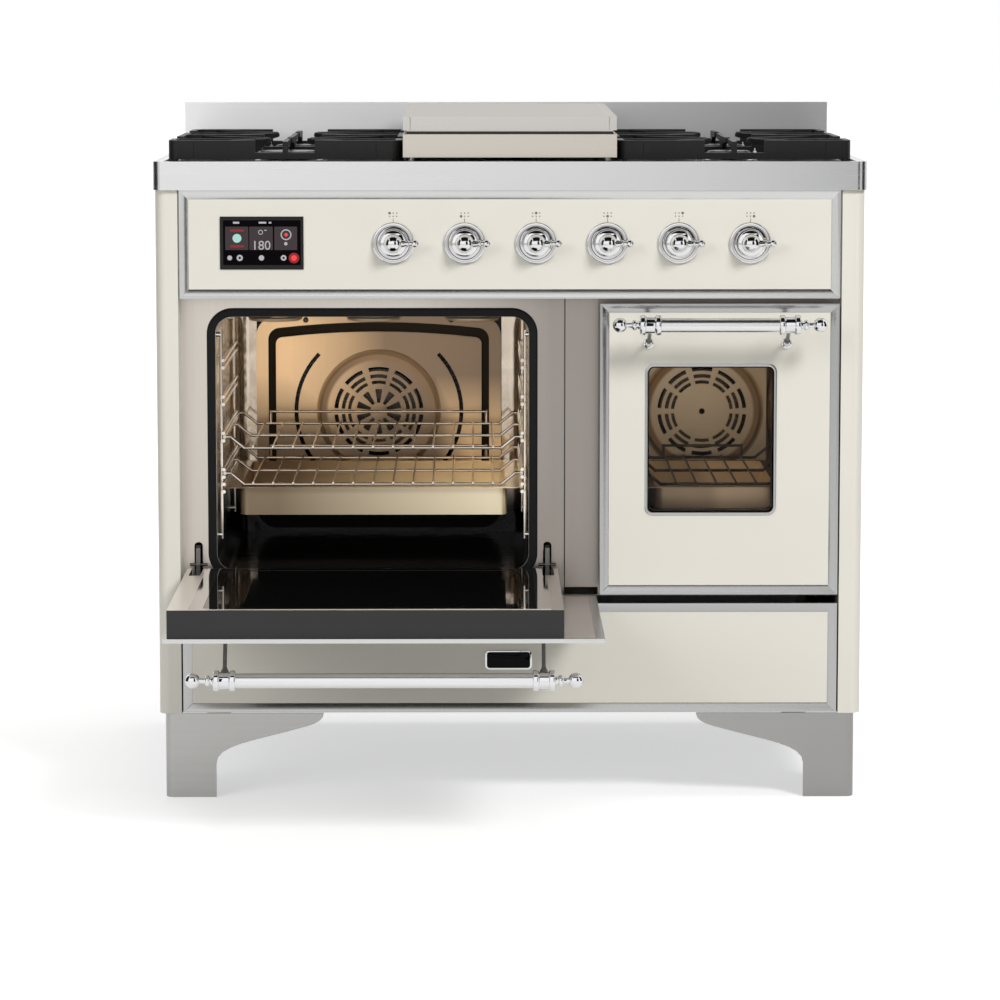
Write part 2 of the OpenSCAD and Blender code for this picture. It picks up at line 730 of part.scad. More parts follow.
// Cast iron pan support over two burners: a tall frame, notched beside each burner, and eight fingers to each
module grate(cx) {
    x = grate_w / 2;
    b = grate_bar;
    y1 = grate_y0 + grate_l;
    middle = grate_y0 + grate_l / 2;
    cell = grate_l / 4;
    notch = 42;
    notch_z = grate_z + 9;
    translate([cx, 0, 0]) union() {
        difference() {
            union() {
                difference() {
                    level(grate_z, grate_top) rounded(-x, x, grate_y0, y1, 14);
                    level(grate_z - 1, grate_top + 1) rounded(-x + b, x - b, grate_y0 + b, y1 - b, 8);
                }
                block(-x + 1, x - 1, middle - b / 2, middle + b / 2, grate_z, grate_top);
            }
            block(-notch, notch, grate_y0 - 1, y1 + 1, notch_z, grate_top + 1);
            for (y = burner_rows) block(-x - 1, x + 1, y - notch, y + notch, notch_z, grate_top + 1);
        }
        for (sx = [-1, 1], y = [grate_y0 + b / 2, middle, y1 - b / 2])
            rod_z(sx * (x - b - 1), y, well_z, grate_z + 1, b / 2 - 0.5);
        for (y = burner_rows, i = [0:7]) {
            reach = i % 4 == 0 ? x - 3 : i % 2 == 0 ? cell - 1 : (cell - 2) * sqrt(2);
            translate([0, y, 0]) rotate([0, 0, i * 45]) finger(i % 2 == 0 ? 26 : 44, reach, b * 0.75);
        }
    }
}

// One finger: it rises from the frame and runs level towards the burner, deeper near the frame
module finger(r0, r1, t) rotate([90, 0, 0]) translate([0, 0, -t / 2]) linear_extrude(t)
    polygon([[r0, grate_top - 7], [r0 + 5, grate_top - 9], [r1 - 40, grate_top - 10], [r1 - 14, grate_z + 3],
        [r1, grate_z + 3], [r1, grate_top - 2], [r0 + 1.5, grate_top - 1], [r0, grate_top - 3]]);

module left_grate() in_frame() color("dimgray") grate(-grate_x);
module right_grate() in_frame() color("dimgray") grate(grate_x);

// Ovens

// Inner space of an oven grown by g, its rear corners rounded as its front ones are
module oven_space(x, w, y0, y1, g) intersection() {
    across(y0, y1 + g) rounded(x - w / 2 - g, x + w / 2 + g, floor_z - g, roof_z + g, oven_r + g);
    level(floor_z - g - 1, roof_z + g + 1) {
        rect(x - w / 2 - g, x + w / 2 + g, y0, y1 - oven_r);
        rounded(x - w / 2 - g, x + w / 2 + g, y0 + 1, y1 + g, oven_r + g);
    }
}

// Enamelled oven liner with a flange behind the front frame and holes for fan shaft and lamp
module oven(x, w) color("tan") difference() {
    flange = 12;
    union() {
        oven_space(x, w, oven_y0, oven_y1, liner_t);
        across(oven_y0, oven_y0 + liner_t)
            rounded(x - w / 2 - flange, x + w / 2 + flange, floor_z - flange, roof_z + flange, oven_r + flange);
    }
    oven_space(x, w, oven_y0 - 2, oven_y1, 0);
    rod_y(x, oven_y1 - 1, oven_y1 + liner_t + 1, fan_z, shaft_r + 4);
    rod_z(lamp_x(x, w), lamp_y, roof_z - 1, roof_z + liner_t + 1, lamp_r);
}

module left_oven() in_frame() oven(left_core_x, left_oven_w);
module right_oven() in_frame() oven(right_core_x, right_oven_w);

// Each oven's lamp sits in its roof, beside the round left corner
function lamp_x(x, w) = x - w / 2 + oven_r + lamp_in;

// Oven lamp: a socket above the roof, a flange against it and a domed glass below
module lamp(x) translate([x, lamp_y, roof_z]) rotate_extrude() polygon([
    [0, lamp_l], [lamp_r - seat, lamp_l], [lamp_r - seat, 0], [lamp_r + 5, 0], [lamp_r + 5, -2],
    [lamp_r - 2, -8], [lamp_r - 7, -11], [0, -12]]);

module oven_lamps() in_frame() color("lightyellow") {
    lamp(lamp_x(left_core_x, left_oven_w));
    lamp(lamp_x(right_core_x, right_oven_w));
}

// Mineral wool blanket round an oven
module blanket(x, w) difference() {
    oven_space(x, w, oven_y0 + liner_t, oven_y1, liner_t + blanket_t);
    oven_space(x, w, oven_y0 - 2, oven_y1, liner_t);
    rod_y(x, oven_y1, oven_y1 + blanket_t + 5, fan_z, motor_r + 1);
    rod_z(lamp_x(x, w), lamp_y, roof_z, roof_z + blanket_t + 5, lamp_r + 1);
    across(oven_y0, oven_y0 + 2 * liner_t) rounded(x - w / 2 - 13, x + w / 2 + 13, floor_z - 13, roof_z + 13, oven_r);
}

module insulation() in_frame() color("khaki") {
    blanket(left_core_x, left_oven_w);
    blanket(right_core_x, right_oven_w);
}

// Door seal: a soft ring round an oven's mouth with a bevelled face
module seal(x, w) difference() {
    y0 = frame_y - seal_out;
    union() {
        across(y0, frame_y - 1.5) seal_outline(x, w, seal_w - 2);
        across(frame_y - 1.5, frame_y) seal_outline(x, w, seal_w);
    }
    across(y0 - 1, frame_y + 1) seal_outline(x, w, 0.5);
}

module seal_outline(x, w, g) rounded(x - w / 2 - g, x + w / 2 + g, floor_z - g, roof_z + g, oven_r + g);

module door_seals() in_frame() color("black") {
    seal(left_core_x, left_oven_w);
    seal(right_core_x, right_oven_w);
}

// Sector of a ring, from angle a over sweep s
module ring_sector(r0, r1, a, s, h) rotate([0, 0, a]) rotate_extrude(angle = s) rect(r0, r1, 0, h);

// Outline with round corners and a top that arches up by rise, grown by g
function arched(x, z0, z1, rise, r, g = 0) = concat(
    arc(-x + r, z0 + r, r + g, 180, 270), arc(x - r, z0 + r, r + g, 270, 360), arc(x - r, z1 - r, r + g, 0, 80),
    [for (t = [0.8:-0.2:-0.8]) [t * (x - r), z1 + g + rise * (1 - t * t)]], arc(-x + r, z1 - r, r + g, 100, 180));

// Band of the pressed frame round a baffle's grille, grown by g
module pressed_band(x, g) difference() {
    band = 11.5;
    top_band = 14.5;
    rise = 8.5;
    z0 = baffle_z0 - fan_z + 12;
    z1 = baffle_z1 - fan_z - 17;
    polygon(arched(x, z0, z1, rise, 18, g));
    polygon(arched(x - band, z0 + band, z1 - top_band, rise, 10, -g));
}

// Baffle plate in front of a fan: a shallow dish with petals and three rings of slots. The wide plate also has
// a pressed frame and a curved slot on each side
module baffle(x, plate_w, wide) {
    sectors = 10;
    depth = 6;
    rings = [[42, 47], [51, 56.5], [61.5, 67.5]];
    petal = [13, 34];
    step = 360 / sectors;
    sweep = 88;
    slot_r = dish_r + 28;
    slot_w = 6;
    press = 5;
    band_x = plate_w / 2 - 18;
    translate([x, baffle_y, fan_z]) rotate([90, 0, 0]) difference() {
        union() {
            translate([0, 0, -baffle_t]) linear_extrude(baffle_t)
                rounded(-plate_w / 2, plate_w / 2, baffle_z0 - fan_z, baffle_z1 - fan_z, 30);
            rotate_extrude() polygon([[0, 0], [dish_r, 0], [grille_r + 8, depth], [0, depth]]);
            if (wide) translate([0, 0, -press - baffle_t]) linear_extrude(press + baffle_t)
                pressed_band(band_x, baffle_t);
        }
        translate([0, 0, -baffle_t - 0.1]) rotate_extrude()
            polygon([[0, 0], [dish_r - 3, 0], [grille_r + 6, depth], [0, depth]]);
        for (ring = rings, i = [0:sectors - 1])
            translate([0, 0, depth - 3]) ring_sector(ring[0], ring[1], (i + 0.12) * step, step * 0.76, 6);
        if (wide) {
            for (i = [0:sectors - 1])
                translate([0, 0, depth - 3]) ring_sector(petal[0], petal[1], (i + 0.25) * step, step * 0.5, 6);
            for (a = [-sweep / 2, 180 - sweep / 2])
                translate([0, 0, -3]) ring_sector(slot_r, slot_r + slot_w, a, sweep, 6);
            translate([0, 0, -press]) linear_extrude(press + 1) pressed_band(band_x, 0);
        }
    }
}

// Both baffles, each held off the oven's back wall by four pillars
module fan_baffles() in_frame() color("tan") for (side = [0, 1]) {
    x = side == 0 ? left_core_x : right_core_x;
    oven_w = side == 0 ? left_oven_w : right_oven_w;
    plate_w = side == 0 ? left_oven_w - 73 : right_oven_w - 40;
    pillar_r = 4;
    pillar_x = min(plate_w / 2 - 2 * pillar_r, oven_w / 2 - oven_r - 1.5 * pillar_r);
    baffle(x, plate_w, side == 0);
    for (sx = [-1, 1], z = [baffle_z0 + 40, baffle_z1 - 50])
        rod_y(x + sx * pillar_x, baffle_y + baffle_t / 2, oven_y1, z, pillar_r);
}

// Convection fan with its shaft, drawn about its own axis and facing forwards
module fan(x) translate([x, 0, fan_z]) rotate([90, 0, 0]) {
    fan_w = baffle_gap - 14;
    z0 = -oven_y1 + 6;
    union() {
        translate([0, 0, z0]) cylinder(h = 1.2, r = fan_r);
        translate([0, 0, -oven_y1 - 40]) cylinder(h = 44 + fan_w, r = shaft_r);
        translate([0, 0, z0]) cylinder(h = fan_w, r = hub_r);
        for (i = [0:fan_blades - 1]) rotate([0, 0, i * 360 / fan_blades])
            translate([fan_r * 0.38, 0, z0 + 0.6]) rotate([0, 0, 24]) cube([fan_r * 0.6, 1.2, fan_w - 0.6]);
    }
}

module left_fan() in_frame() color("silver") fan(left_core_x);
module right_fan() in_frame() color("silver") fan(right_core_x);

// Fan motors behind the ovens, on three stand-off pillars each
module fan_motors() in_frame() color("gray") for (x = [left_core_x, right_core_x]) {
    y0 = oven_y1 + liner_t;
    difference() {
        union() {
            rod_y(x, y0 + 6, y0 + 62, fan_z, motor_r);
            for (a = [90, 210, 330])
                rod_y(x + (motor_r - 6) * cos(a), y0, y0 + 7, fan_z + (motor_r - 6) * sin(a), 4);
        }
        rod_y(x, y0, oven_y1 + 42, fan_z, shaft_r + run_clear);
    }
}

// Grill element close under each oven's roof: hairpins of heating tube, as many as the oven's width takes
module grill_element(x, w) {
    r = 3.2;
    bends = round(w / 140);
    pitch = (w - 90) / (2 * bends - 1);
    z = roof_z - 8;
    y0 = frame_y + 90;
    y1 = baffle_y - 10;
    for (i = [0:2 * bends - 1]) rod_y(x - (w - 90) / 2 + i * pitch, y0, y1, z, r);
    for (i = [0:2 * bends - 2])
        translate([x - (w - 90) / 2 + (i + 0.5) * pitch, i % 2 == 0 ? y0 : y1, z])
            rotate([0, 0, i % 2 == 0 ? 180 : 0]) rotate_extrude(angle = 180) translate([pitch / 2, 0]) circle(r, $fn = 24);
    for (i = [0, 2 * bends - 1]) rod_y(x - (w - 90) / 2 + i * pitch, y1, oven_y1, z, r);
}

module heating_elements() in_frame() color("gray") {
    grill_element(left_core_x, left_oven_w);
    grill_element(right_core_x, right_oven_w);
}

// Racks

// Wire ladder on one side wall of an oven, with a pair of rails for each runner height
module ladder(x, w, runners, s) {
    wall = x + s * w / 2;
    post = wall - s * post_in;
    rail = wall - s * guide_in;
    posts = [rack_y0 + 20, rack_y1 - 20];
    z0 = ladder_z0;
    z1 = ladder_z1;
    for (y = posts) {
        rod_z(post, y, z0, z1, wire_r);
        for (z = [z0 + 6, z1 - 6]) rod_x(min(post, wall), max(post, wall), y, z, wire_r + 1);
    }
    for (z = runners, d = [-guide_gap, guide_gap]) rod_y(rail, rack_y0, rack_y1, z + d, wire_r);
}

module rack_guides() in_frame() color("silver") for (s = [-1, 1]) {
    spare = [for (i = [1:spare_levels]) upper_runner_z + i * level_pitch];
    ladder(left_core_x, left_oven_w, concat([tray_runner_z, lower_runner_z, upper_runner_z], spare), s);
    ladder(right_core_x, right_oven_w, [tray_runner_z, lower_runner_z, upper_runner_z], s);
}

// Wire shelf: level in the middle, its cross rods bent up to the runners, with a stop along the back
module shelf(x, w, runner_z) {
    run = w / 2 - runner_in;
    bend = run - 3.5 * wire_r;
    flat = w / 2 - shelf_side;
    z = runner_z - shelf_rise;
    y0 = rack_y0 + 4;
    y1 = rack_y1 - 4;
    n = floor((flat - 6) / shelf_pitch);
    stop = flat - 20;
    weld = 0.4;
    cross_r = wire_r - 0.3;
    translate([x, 0, 0]) union() {
        for (s = [-1, 1]) {
            rod_y(s * run, y0 - 2, y1 + 2, runner_z, wire_r);
            for (y = [y0, (y0 + y1) / 2, y1]) {
                rod_x(min(s * run, s * bend), max(s * run, s * bend), y, runner_z, cross_r);
                wire([s * bend, y, runner_z], [s * flat, y, z], cross_r);
                for (knee = [[s * bend, y, runner_z], [s * flat, y, z]]) translate(knee) sphere(r = cross_r + weld);
            }
            rod_z(s * stop, y1, z, z + 18, wire_r - 0.5);
            translate([s * stop, y1, z + 18]) sphere(r = wire_r - 0.5 + weld);
        }
        for (y = [y0, (y0 + y1) / 2, y1]) rod_x(-flat, flat, y, z, cross_r);
        rod_x(-stop, stop, y1, z + 18, wire_r - 0.5);
        for (i = [-n:n]) rod_y(i * shelf_pitch, y0 - 3, y1 + 3, z + wire_r, shelf_wire_r);
    }
}

// Baking tray with a folded rim whose beaded sides run in the guides
module tray(x, w) {
    run = w / 2 - runner_in;
    side = w / 2 - shelf_side + 8;
    z0 = tray_z - tray_h;
    y0 = rack_y0 + 2;
    y1 = rack_y1 - 2;
    translate([x, 0, 0]) union() {
        difference() {
            level(z0, tray_z) rounded(-side, side, y0 + 8, y1 - 8, 12);
            level(z0 + tray_t, tray_z + 1) rounded(-side + tray_t, side - tray_t, y0 + 8 + tray_t, y1 - 8 - tray_t, 12 - tray_t);
        }
        difference() {
            level(tray_z - tray_t, tray_z) rounded(-run, run, y0, y1, 10);
            level(tray_z - tray_t - 1, tray_z + 1)
                rounded(-side + tray_t, side - tray_t, y0 + 8 + tray_t, y1 - 8 - tray_t, 12 - tray_t);
        }
        for (s = [-1, 1]) rod_y(s * run, y0 + 12, y1 - 12, tray_runner_z, wire_r);
    }
}

module upper_shelf() in_frame() color("silver") shelf(left_core_x, left_oven_w, upper_runner_z);
module lower_shelf() in_frame() color("silver") shelf(left_core_x, left_oven_w, lower_runner_z);
module baking_tray() in_frame() color("silver") tray(left_core_x, left_oven_w);
module right_racks() in_frame() color("dimgray") {
    shelf(right_core_x, right_oven_w, lower_runner_z);
    tray(right_core_x, right_oven_w);
}

// Hinges

// Hinge arm from the front frame to the pin: its claw stands up in the frame's slot, with a cross bar for the catch
module hinge_arm(x) {
    eye = hinge_pin_r + 4;
    side = hinge_arm_t / 2;
    nose = 7;
    bar_r = 2;
    bar_half = 12.5;
    difference() {
        union() {
            along(x - side, x + side) polygon(concat(
                [[hinge_y, hinge_z - eye], [hinge_y + 18, hinge_z - eye], [frame_y, hinge_z + 2],
                [frame_y, hinge_z + 40]],
                arc(frame_y - nose, hinge_z + hinge_up_h - nose, nose - 1, 0, 180),
                [[frame_y - 2 * nose, hinge_z + 30], [hinge_y + 5, hinge_z + eye - 1], [hinge_y, hinge_z + eye]]));
            rod_x(x - side, x + side, hinge_y, hinge_z, eye);
            block(x - side, x + side, frame_y - 1, frame_y + 30, hinge_z + 10, hinge_z + 34);
            rod_x(x - bar_half, x + bar_half, frame_y - bar_r - 0.6, hinge_z + 29, bar_r);
        }
        rod_x(x - hinge_arm_t, x + hinge_arm_t, hinge_y, hinge_z, hinge_pin_r + run_clear);
    }
}

module hinge_arms() in_frame() color("dimgray") for (x = concat(left_hinges, right_hinges)) hinge_arm(x);

// Doors, drawn shut

// Inner body of a door: a steel shell round the window, with a pocket and a pin for each hinge arm
module core(x, w, pane_w, hinges, window_x, window_w) {
    z0 = door_z0 + core_foot;
    z1 = door_z1 - core_side;
    eye = hinge_pin_r + 5;
    window_z0 = door_z0 + window_sill - 4;
    difference() {
        block(x - w / 2, x + w / 2, core_y, glass_y, z0, z1);
        block(x - pane_w / 2, x + pane_w / 2, glass_y - glass_t, glass_y + 1, pane_z0, pane_z1);
        across(core_y - 1, glass_y)
            rounded(window_x - window_w / 2 + 4, window_x + window_w / 2 - 4,
                door_z0 + window_sill + 4, door_z0 + window_sill + window_h - 4, 8);
        block(window_x - window_w / 2 - 8, window_x + window_w / 2 + 8, core_y - 1, core_y + glass_t,
            door_z0 + window_sill - 8, door_z0 + window_sill + window_h + 8);
        for (h = hinges) block(h - hinge_slot_w / 2, h + hinge_slot_w / 2, hinge_y - eye, glass_y + 1,
            z0 - 1, z0 + hinge_slot_h);
    }
    for (h = hinges) rod_x(h - hinge_slot_w / 2 - 1, h + hinge_slot_w / 2 + 1, hinge_y, hinge_z, hinge_pin_r);
}

// Front window pane and inner pane of a door
module panes(x, pane_w, window_x, window_w) {
    block(window_x - window_w / 2 - 8, window_x + window_w / 2 + 8, core_y, core_y + glass_t,
        door_z0 + window_sill - 8, door_z0 + window_sill + window_h + 8);
    block(x - pane_w / 2, x + pane_w / 2, glass_y - glass_t, glass_y, pane_z0, pane_z1);
}

// Painted door panel with its window opening
module door_panel(x0, x1, window_x, window_w) difference() {
    panel(x0, x1, door_z0, door_z1);
    across(panel_y - 1, core_y + 1) rounded(window_x - window_w / 2, window_x + window_w / 2,
        door_z0 + window_sill, door_z0 + window_sill + window_h, 10);
}

// Door handle: a bar with collars, beaded necks and balls, on two posts
module handle(x, span) {
    bar_y = panel_y - bar_out;
    z = door_z1 - bar_down;
    collar_r = 14;
    collar_l = 31;
    neck = 44.5 - collar_l / 2;
    translate([x, bar_y, z]) {
        rod_x(-span / 2, span / 2, 0, 0, bar_d / 2);
        for (m = [0, 1]) mirror([m, 0, 0]) translate([span / 2, 0, 0]) {
            rotate([0, 90, 0]) rotate_extrude() polygon(concat(
                [[0, -collar_l / 2], [collar_r - 2, -collar_l / 2], [collar_r, -collar_l / 2 + 2],
                    [collar_r, -collar_l / 2 + 7], [collar_r - 2, -collar_l / 2 + 9],
                    [collar_r - 2, collar_l / 2 - 9], [collar_r, collar_l / 2 - 7], [collar_r, collar_l / 2 - 2],
                    [collar_r - 2, collar_l / 2], [5.5, collar_l / 2 + 2], [4.5, collar_l / 2 + 6]],
                arc(4.5, collar_l / 2 + 9.5, 3.5, -90, 90, 6),
                [[4.5, collar_l / 2 + 14], [4.5, collar_l / 2 + neck - 7], [0, collar_l / 2 + neck]]));
            translate([collar_l / 2 + neck, 0, 0]) sphere(r = ball_d / 2);
            rotate([-90, 0, 0]) rotate_extrude() polygon([[0, 0], [6, 0], [6, collar_r + 2], [4.5, collar_r + 5],
                [4.5, bar_out - 9], [7, bar_out - 6], [9, bar_out - 2], [9, bar_out], [0, bar_out]]);
        }
    }
}

module left_door_panel() in_frame() color("ivory") opened()
    door_panel(left_x0, left_x1, left_window_x, left_window_w);
module left_door_trim() in_frame() color("silver") opened() trim(left_x0, left_x1, door_z0, door_z1);
module left_door_core() in_frame() color("dimgray") opened()
    core(left_core_x, left_core_w, left_pane_w, left_hinges, left_window_x, left_window_w);
module left_door_glass() in_frame() color("gray") opened()
    panes(left_core_x, left_pane_w, left_window_x, left_window_w);
module left_door_handle() in_frame() color("silver") opened() handle((left_x0 + left_x1) / 2, left_bar_span);

module right_door_panel() in_frame() color("ivory")
    door_panel(right_x0, right_x1, right_window_x, right_window_w);
module right_door_trim() in_frame() color("silver") trim(right_x0, right_x1, door_z0, door_z1);
module right_door_core() in_frame() color("dimgray")
    core(right_core_x, right_core_w, right_pane_w, right_hinges, right_window_x, right_window_w);
module right_door_glass() in_frame() color("gray")
    panes(right_core_x, right_pane_w, right_window_x, right_window_w);
module right_door_handle() in_frame() color("silver") handle(right_core_x, right_bar_span);

// Drawer

module drawer_panel() in_frame() color("ivory") panel(left_x0, right_x1, drawer_z0, drawer_z1);
module drawer_trim() in_frame() color("silver") trim(left_x0, right_x1, drawer_z0, drawer_z1);

// Folded drawer box on a backing sheet, with a runner on each side
module drawer_box() in_frame() color("silver") {
    t = 1.2;
    y1 = core_y + drawer_d;
    backing = 5;
    union() {
        block(left_x0 + backing, right_x1 - backing, core_y, core_y + sheet_t, drawer_z0 + backing, drawer_z1 - backing);
        difference() {
            block(-box_x, box_x, core_y, y1, box_z0, box_z1);
            block(-box_x + t, box_x - t, core_y + sheet_t, y1 - t, box_z0 + t, box_z1 + 1);
        }
        for (m = [0, 1]) mirror([m, 0, 0])
            block(box_x - t, opening_w / 2 - rail_t - seat, post_d + 2, y1,
                rail_z - rail_h / 2 + rail_t + seat, rail_z + rail_h / 2 - rail_t - seat);
    }
}

side_panels();
drawer_housing();
drawer_rails();
back_panel();
front_frame();
legs();
control_panel();
control_trim();
touch_display();
knob_bezels();
hob_top();
backguard();
burner_bodies();
burner_caps();
griddle();
gas_manifold();
left_oven();
right_oven();
insulation();
door_seals();
fan_baffles();
fan_motors();
heating_elements();
oven_lamps();
rack_guides();
right_racks();
hinge_arms();
left_door_panel();
left_door_trim();
left_door_core();
left_door_glass();
left_door_handle();
right_door_panel();
right_door_trim();
right_door_core();
right_door_glass();
right_door_handle();
drawer_panel();
drawer_trim();
drawer_box();
griddle_lid();
left_grate();
right_grate();
upper_shelf();
lower_shelf();
baking_tray();
left_fan();
right_fan();
valve_stem_1();
valve_stem_2();
valve_stem_3();
valve_stem_4();
valve_stem_5();
valve_stem_6();
knob_1();
knob_2();
knob_3();
knob_4();
knob_5();
knob_6();
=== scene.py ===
"""Looks of a dual fuel range cooker: finishes, fine pieces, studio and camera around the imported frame."""

import json
import logging
import math
from dataclasses import dataclass
from enum import Enum, IntEnum

import bmesh
import bpy
from mathutils import Matrix, Quaternion, Vector

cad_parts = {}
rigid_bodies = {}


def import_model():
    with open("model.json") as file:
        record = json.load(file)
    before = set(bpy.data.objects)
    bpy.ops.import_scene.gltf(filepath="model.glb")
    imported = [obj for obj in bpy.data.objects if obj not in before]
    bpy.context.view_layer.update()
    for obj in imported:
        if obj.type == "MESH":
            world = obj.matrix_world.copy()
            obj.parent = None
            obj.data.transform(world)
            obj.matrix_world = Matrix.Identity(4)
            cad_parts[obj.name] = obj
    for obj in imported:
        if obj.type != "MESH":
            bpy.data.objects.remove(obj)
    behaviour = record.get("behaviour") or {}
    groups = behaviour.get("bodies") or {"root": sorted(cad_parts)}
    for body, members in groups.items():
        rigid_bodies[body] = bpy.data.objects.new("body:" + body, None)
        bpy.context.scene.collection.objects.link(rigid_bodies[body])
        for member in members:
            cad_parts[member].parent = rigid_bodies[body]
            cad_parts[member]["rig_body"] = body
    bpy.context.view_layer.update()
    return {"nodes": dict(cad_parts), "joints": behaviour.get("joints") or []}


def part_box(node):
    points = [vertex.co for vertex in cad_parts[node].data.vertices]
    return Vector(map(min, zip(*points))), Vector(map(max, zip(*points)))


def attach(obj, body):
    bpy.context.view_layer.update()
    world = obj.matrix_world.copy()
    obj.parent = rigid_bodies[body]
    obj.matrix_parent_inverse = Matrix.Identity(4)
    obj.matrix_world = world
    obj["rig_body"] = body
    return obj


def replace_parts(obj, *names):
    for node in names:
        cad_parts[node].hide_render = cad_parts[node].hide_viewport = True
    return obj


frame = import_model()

LOG = logging.getLogger("range_cooker")
Socket = bpy.types.NodeSocket
Span = tuple[float, float]
Point = tuple[float, float, float]
Colour = tuple[float, float, float]
Sides = tuple[float, float, float, float]
Profile = list[Span]
KNOBS = range(1, 7)

WELD, POLE = 1e-6, 1e-7
CREASE = 38.0
COAT_GLOSS = 0.06
NOISE_SPAN = (0.3, 0.7)
FACING_LIMIT, FACING_BLUR = 0.7, 0.1


class Graph:
    """Node tree of a material or a world, with short calls for the nodes that the finishes share."""

    def __init__(self, owner: bpy.types.Material | bpy.types.World) -> None:
        """Start from the owner's own nodes, with object coordinates beside them.

        Args:
            owner: New material or world.
        """
        owner.use_nodes = True
        self.tree = owner.node_tree
        self.shader = self.tree.nodes.get("Principled BSDF")
        self.place = self.node("ShaderNodeTexCoord")

    def node(self, kind: str, **settings: object) -> bpy.types.Node:
        """Add a node.

        Args:
            kind: Type name of the node.
            settings: Properties to set on it.

        Returns:
            The new node.
        """
        made = self.tree.nodes.new(kind)
        for key, value in settings.items():
            setattr(made, key, value)
        return made

    def link(self, value: Socket | Colour | float, target: Socket) -> None:
        """Link a socket to an input, or set the input to a plain value.

        Args:
            value: Socket, colour or number.
            target: Input that takes it.
        """
        if isinstance(value, Socket):
            self.tree.links.new(value, target)
        else:
            target.default_value = (*value, 1.0) if isinstance(value, tuple) else value

    def noise(self, stretch: Point | float, detail: float = 3.0) -> Socket:
        """Noise on object coordinates.

        Args:
            stretch: Frequency per metre, along each axis or the same along all.
            detail: Number of octaves.

        Returns:
            The noise value, 0 to 1.
        """
        mapping = self.node("ShaderNodeMapping")
        mapping.inputs["Scale"].default_value = stretch if isinstance(stretch, tuple) else (stretch,) * 3
        self.link(self.place.outputs["Object"], mapping.inputs["Vector"])
        noise = self.node("ShaderNodeTexNoise")
        for key, value in (("Scale", 1.0), ("Detail", detail), ("Vector", mapping.outputs["Vector"])):
            self.link(value, noise.inputs[key])
        return noise.outputs["Fac"]

    def spread(self, value: Socket, low: float, high: float, out: Span = (0.0, 1.0)) -> Socket:
        """Map a value from one range to another, clamped.

        Args:
            value: Value to map.
            low: Value that gives the first of out.
            high: Value that gives the second of out.
            out: Range of the result.

        Returns:
            The mapped value.
        """
        made = self.node("ShaderNodeMapRange")
        for key, number in zip(("Value", "From Min", "From Max", "To Min", "To Max"), (value, low, high, *out)):
            self.link(number, made.inputs[key])
        return made.outputs["Result"]

    def mix(self, factor: Socket, first: Socket | Colour, second: Socket | Colour) -> Socket:
        """Mix two colours.

        Args:
            factor: Share of the second colour.
            first: Colour at 0.
            second: Colour at 1.

        Returns:
            The mixed colour.
        """
        made = self.node("ShaderNodeMix", data_type="RGBA")
        for key, value in (("Factor", factor), ("A", first), ("B", second)):
            self.link(value, made.inputs[key])
        return made.outputs["Result"]

    def axes(self, kind: str = "Object") -> dict[str, Socket]:
        """Split object coordinates, or object normals, into X, Y and Z.

        Args:
            kind: Object or Normal.

        Returns:
            The three values by axis name.
        """
        made = self.node("ShaderNodeSeparateXYZ")
        self.link(self.place.outputs[kind], made.inputs["Vector"])
        return {axis: made.outputs[axis] for axis in "XYZ"}

    def math(self, operation: str, *values: Socket | float) -> Socket:
        """Join values by a Math node.

        Args:
            operation: Name of the operation.
            values: Its inputs in order, sockets or numbers.

        Returns:
            The result.
        """
        made = self.node("ShaderNodeMath", operation=operation)
        for value, target in zip(values, made.inputs):
            self.link(value, target)
        return made.outputs["Value"]

    def inside(self, value: Socket, low: float, high: float) -> Socket:
        """Give 1 where a value lies between two limits, and 0 outside."""
        return self.math("COMPARE", value, (low + high) / 2, (high - low) / 2)

    def beyond(self, value: Socket, limit: float, blur: float = 0.0005) -> Socket:
        """Give 1 where a value passes a limit, and 0 before it, with a soft step as wide as the blur."""
        return self.spread(value, limit - blur / 2, limit + blur / 2)

    def inverse(self, value: Socket) -> Socket:
        """Turn 0 into 1 and 1 into 0."""
        return self.math("ABSOLUTE", self.math("SUBTRACT", value, 1.0))

    def overlay(self, mask: Socket, values: dict[str, Colour | float]) -> None:
        """Lay other shader values over the present ones where a mask is 1.

        Args:
            mask: Where the other values show, 0 to 1.
            values: The other values by name of the shader's socket.
        """
        for key, value in values.items():
            target = self.shader.inputs[key]
            made = self.node("ShaderNodeMix", data_type="RGBA" if isinstance(value, tuple) else "FLOAT")
            self.link(mask, made.inputs["Factor"])
            first, second = [s for s in made.inputs if s.enabled and s.name in "AB"]
            if target.is_linked:
                self.link(target.links[0].from_socket, first)
            else:
                first.default_value = target.default_value
            self.link(value, second)
            self.link([s for s in made.outputs if s.enabled][0], target)

    def bump(self, height: Socket, depth: float) -> None:
        """Raise the surface by a height, on top of what is there.

        Args:
            height: Height, 0 to 1.
            depth: Depth in metres that 1 stands for.
        """
        made = self.node("ShaderNodeBump")
        for key, value in (("Distance", depth), ("Strength", 1.0), ("Height", height)):
            self.link(value, made.inputs[key])
        target = self.shader.inputs["Normal"]
        if target.is_linked:
            self.link(target.links[0].from_socket, made.inputs["Normal"])
        self.link(made.outputs["Normal"], target)


class Smooth(IntEnum):
    """Number of facets round a turned shape."""

    FINE = 96
    BAR = 64
    LEVER = 40
    POST = 32
    HEAD = 20
    PLUG = 16
    WELD = 10


class Grain(Enum):
    """Direction in which sheet metal is brushed: frequency of its lines along each axis, per metre."""

    ACROSS = (3.0, 700.0, 700.0)
    UPRIGHT = (700.0, 700.0, 3.0)


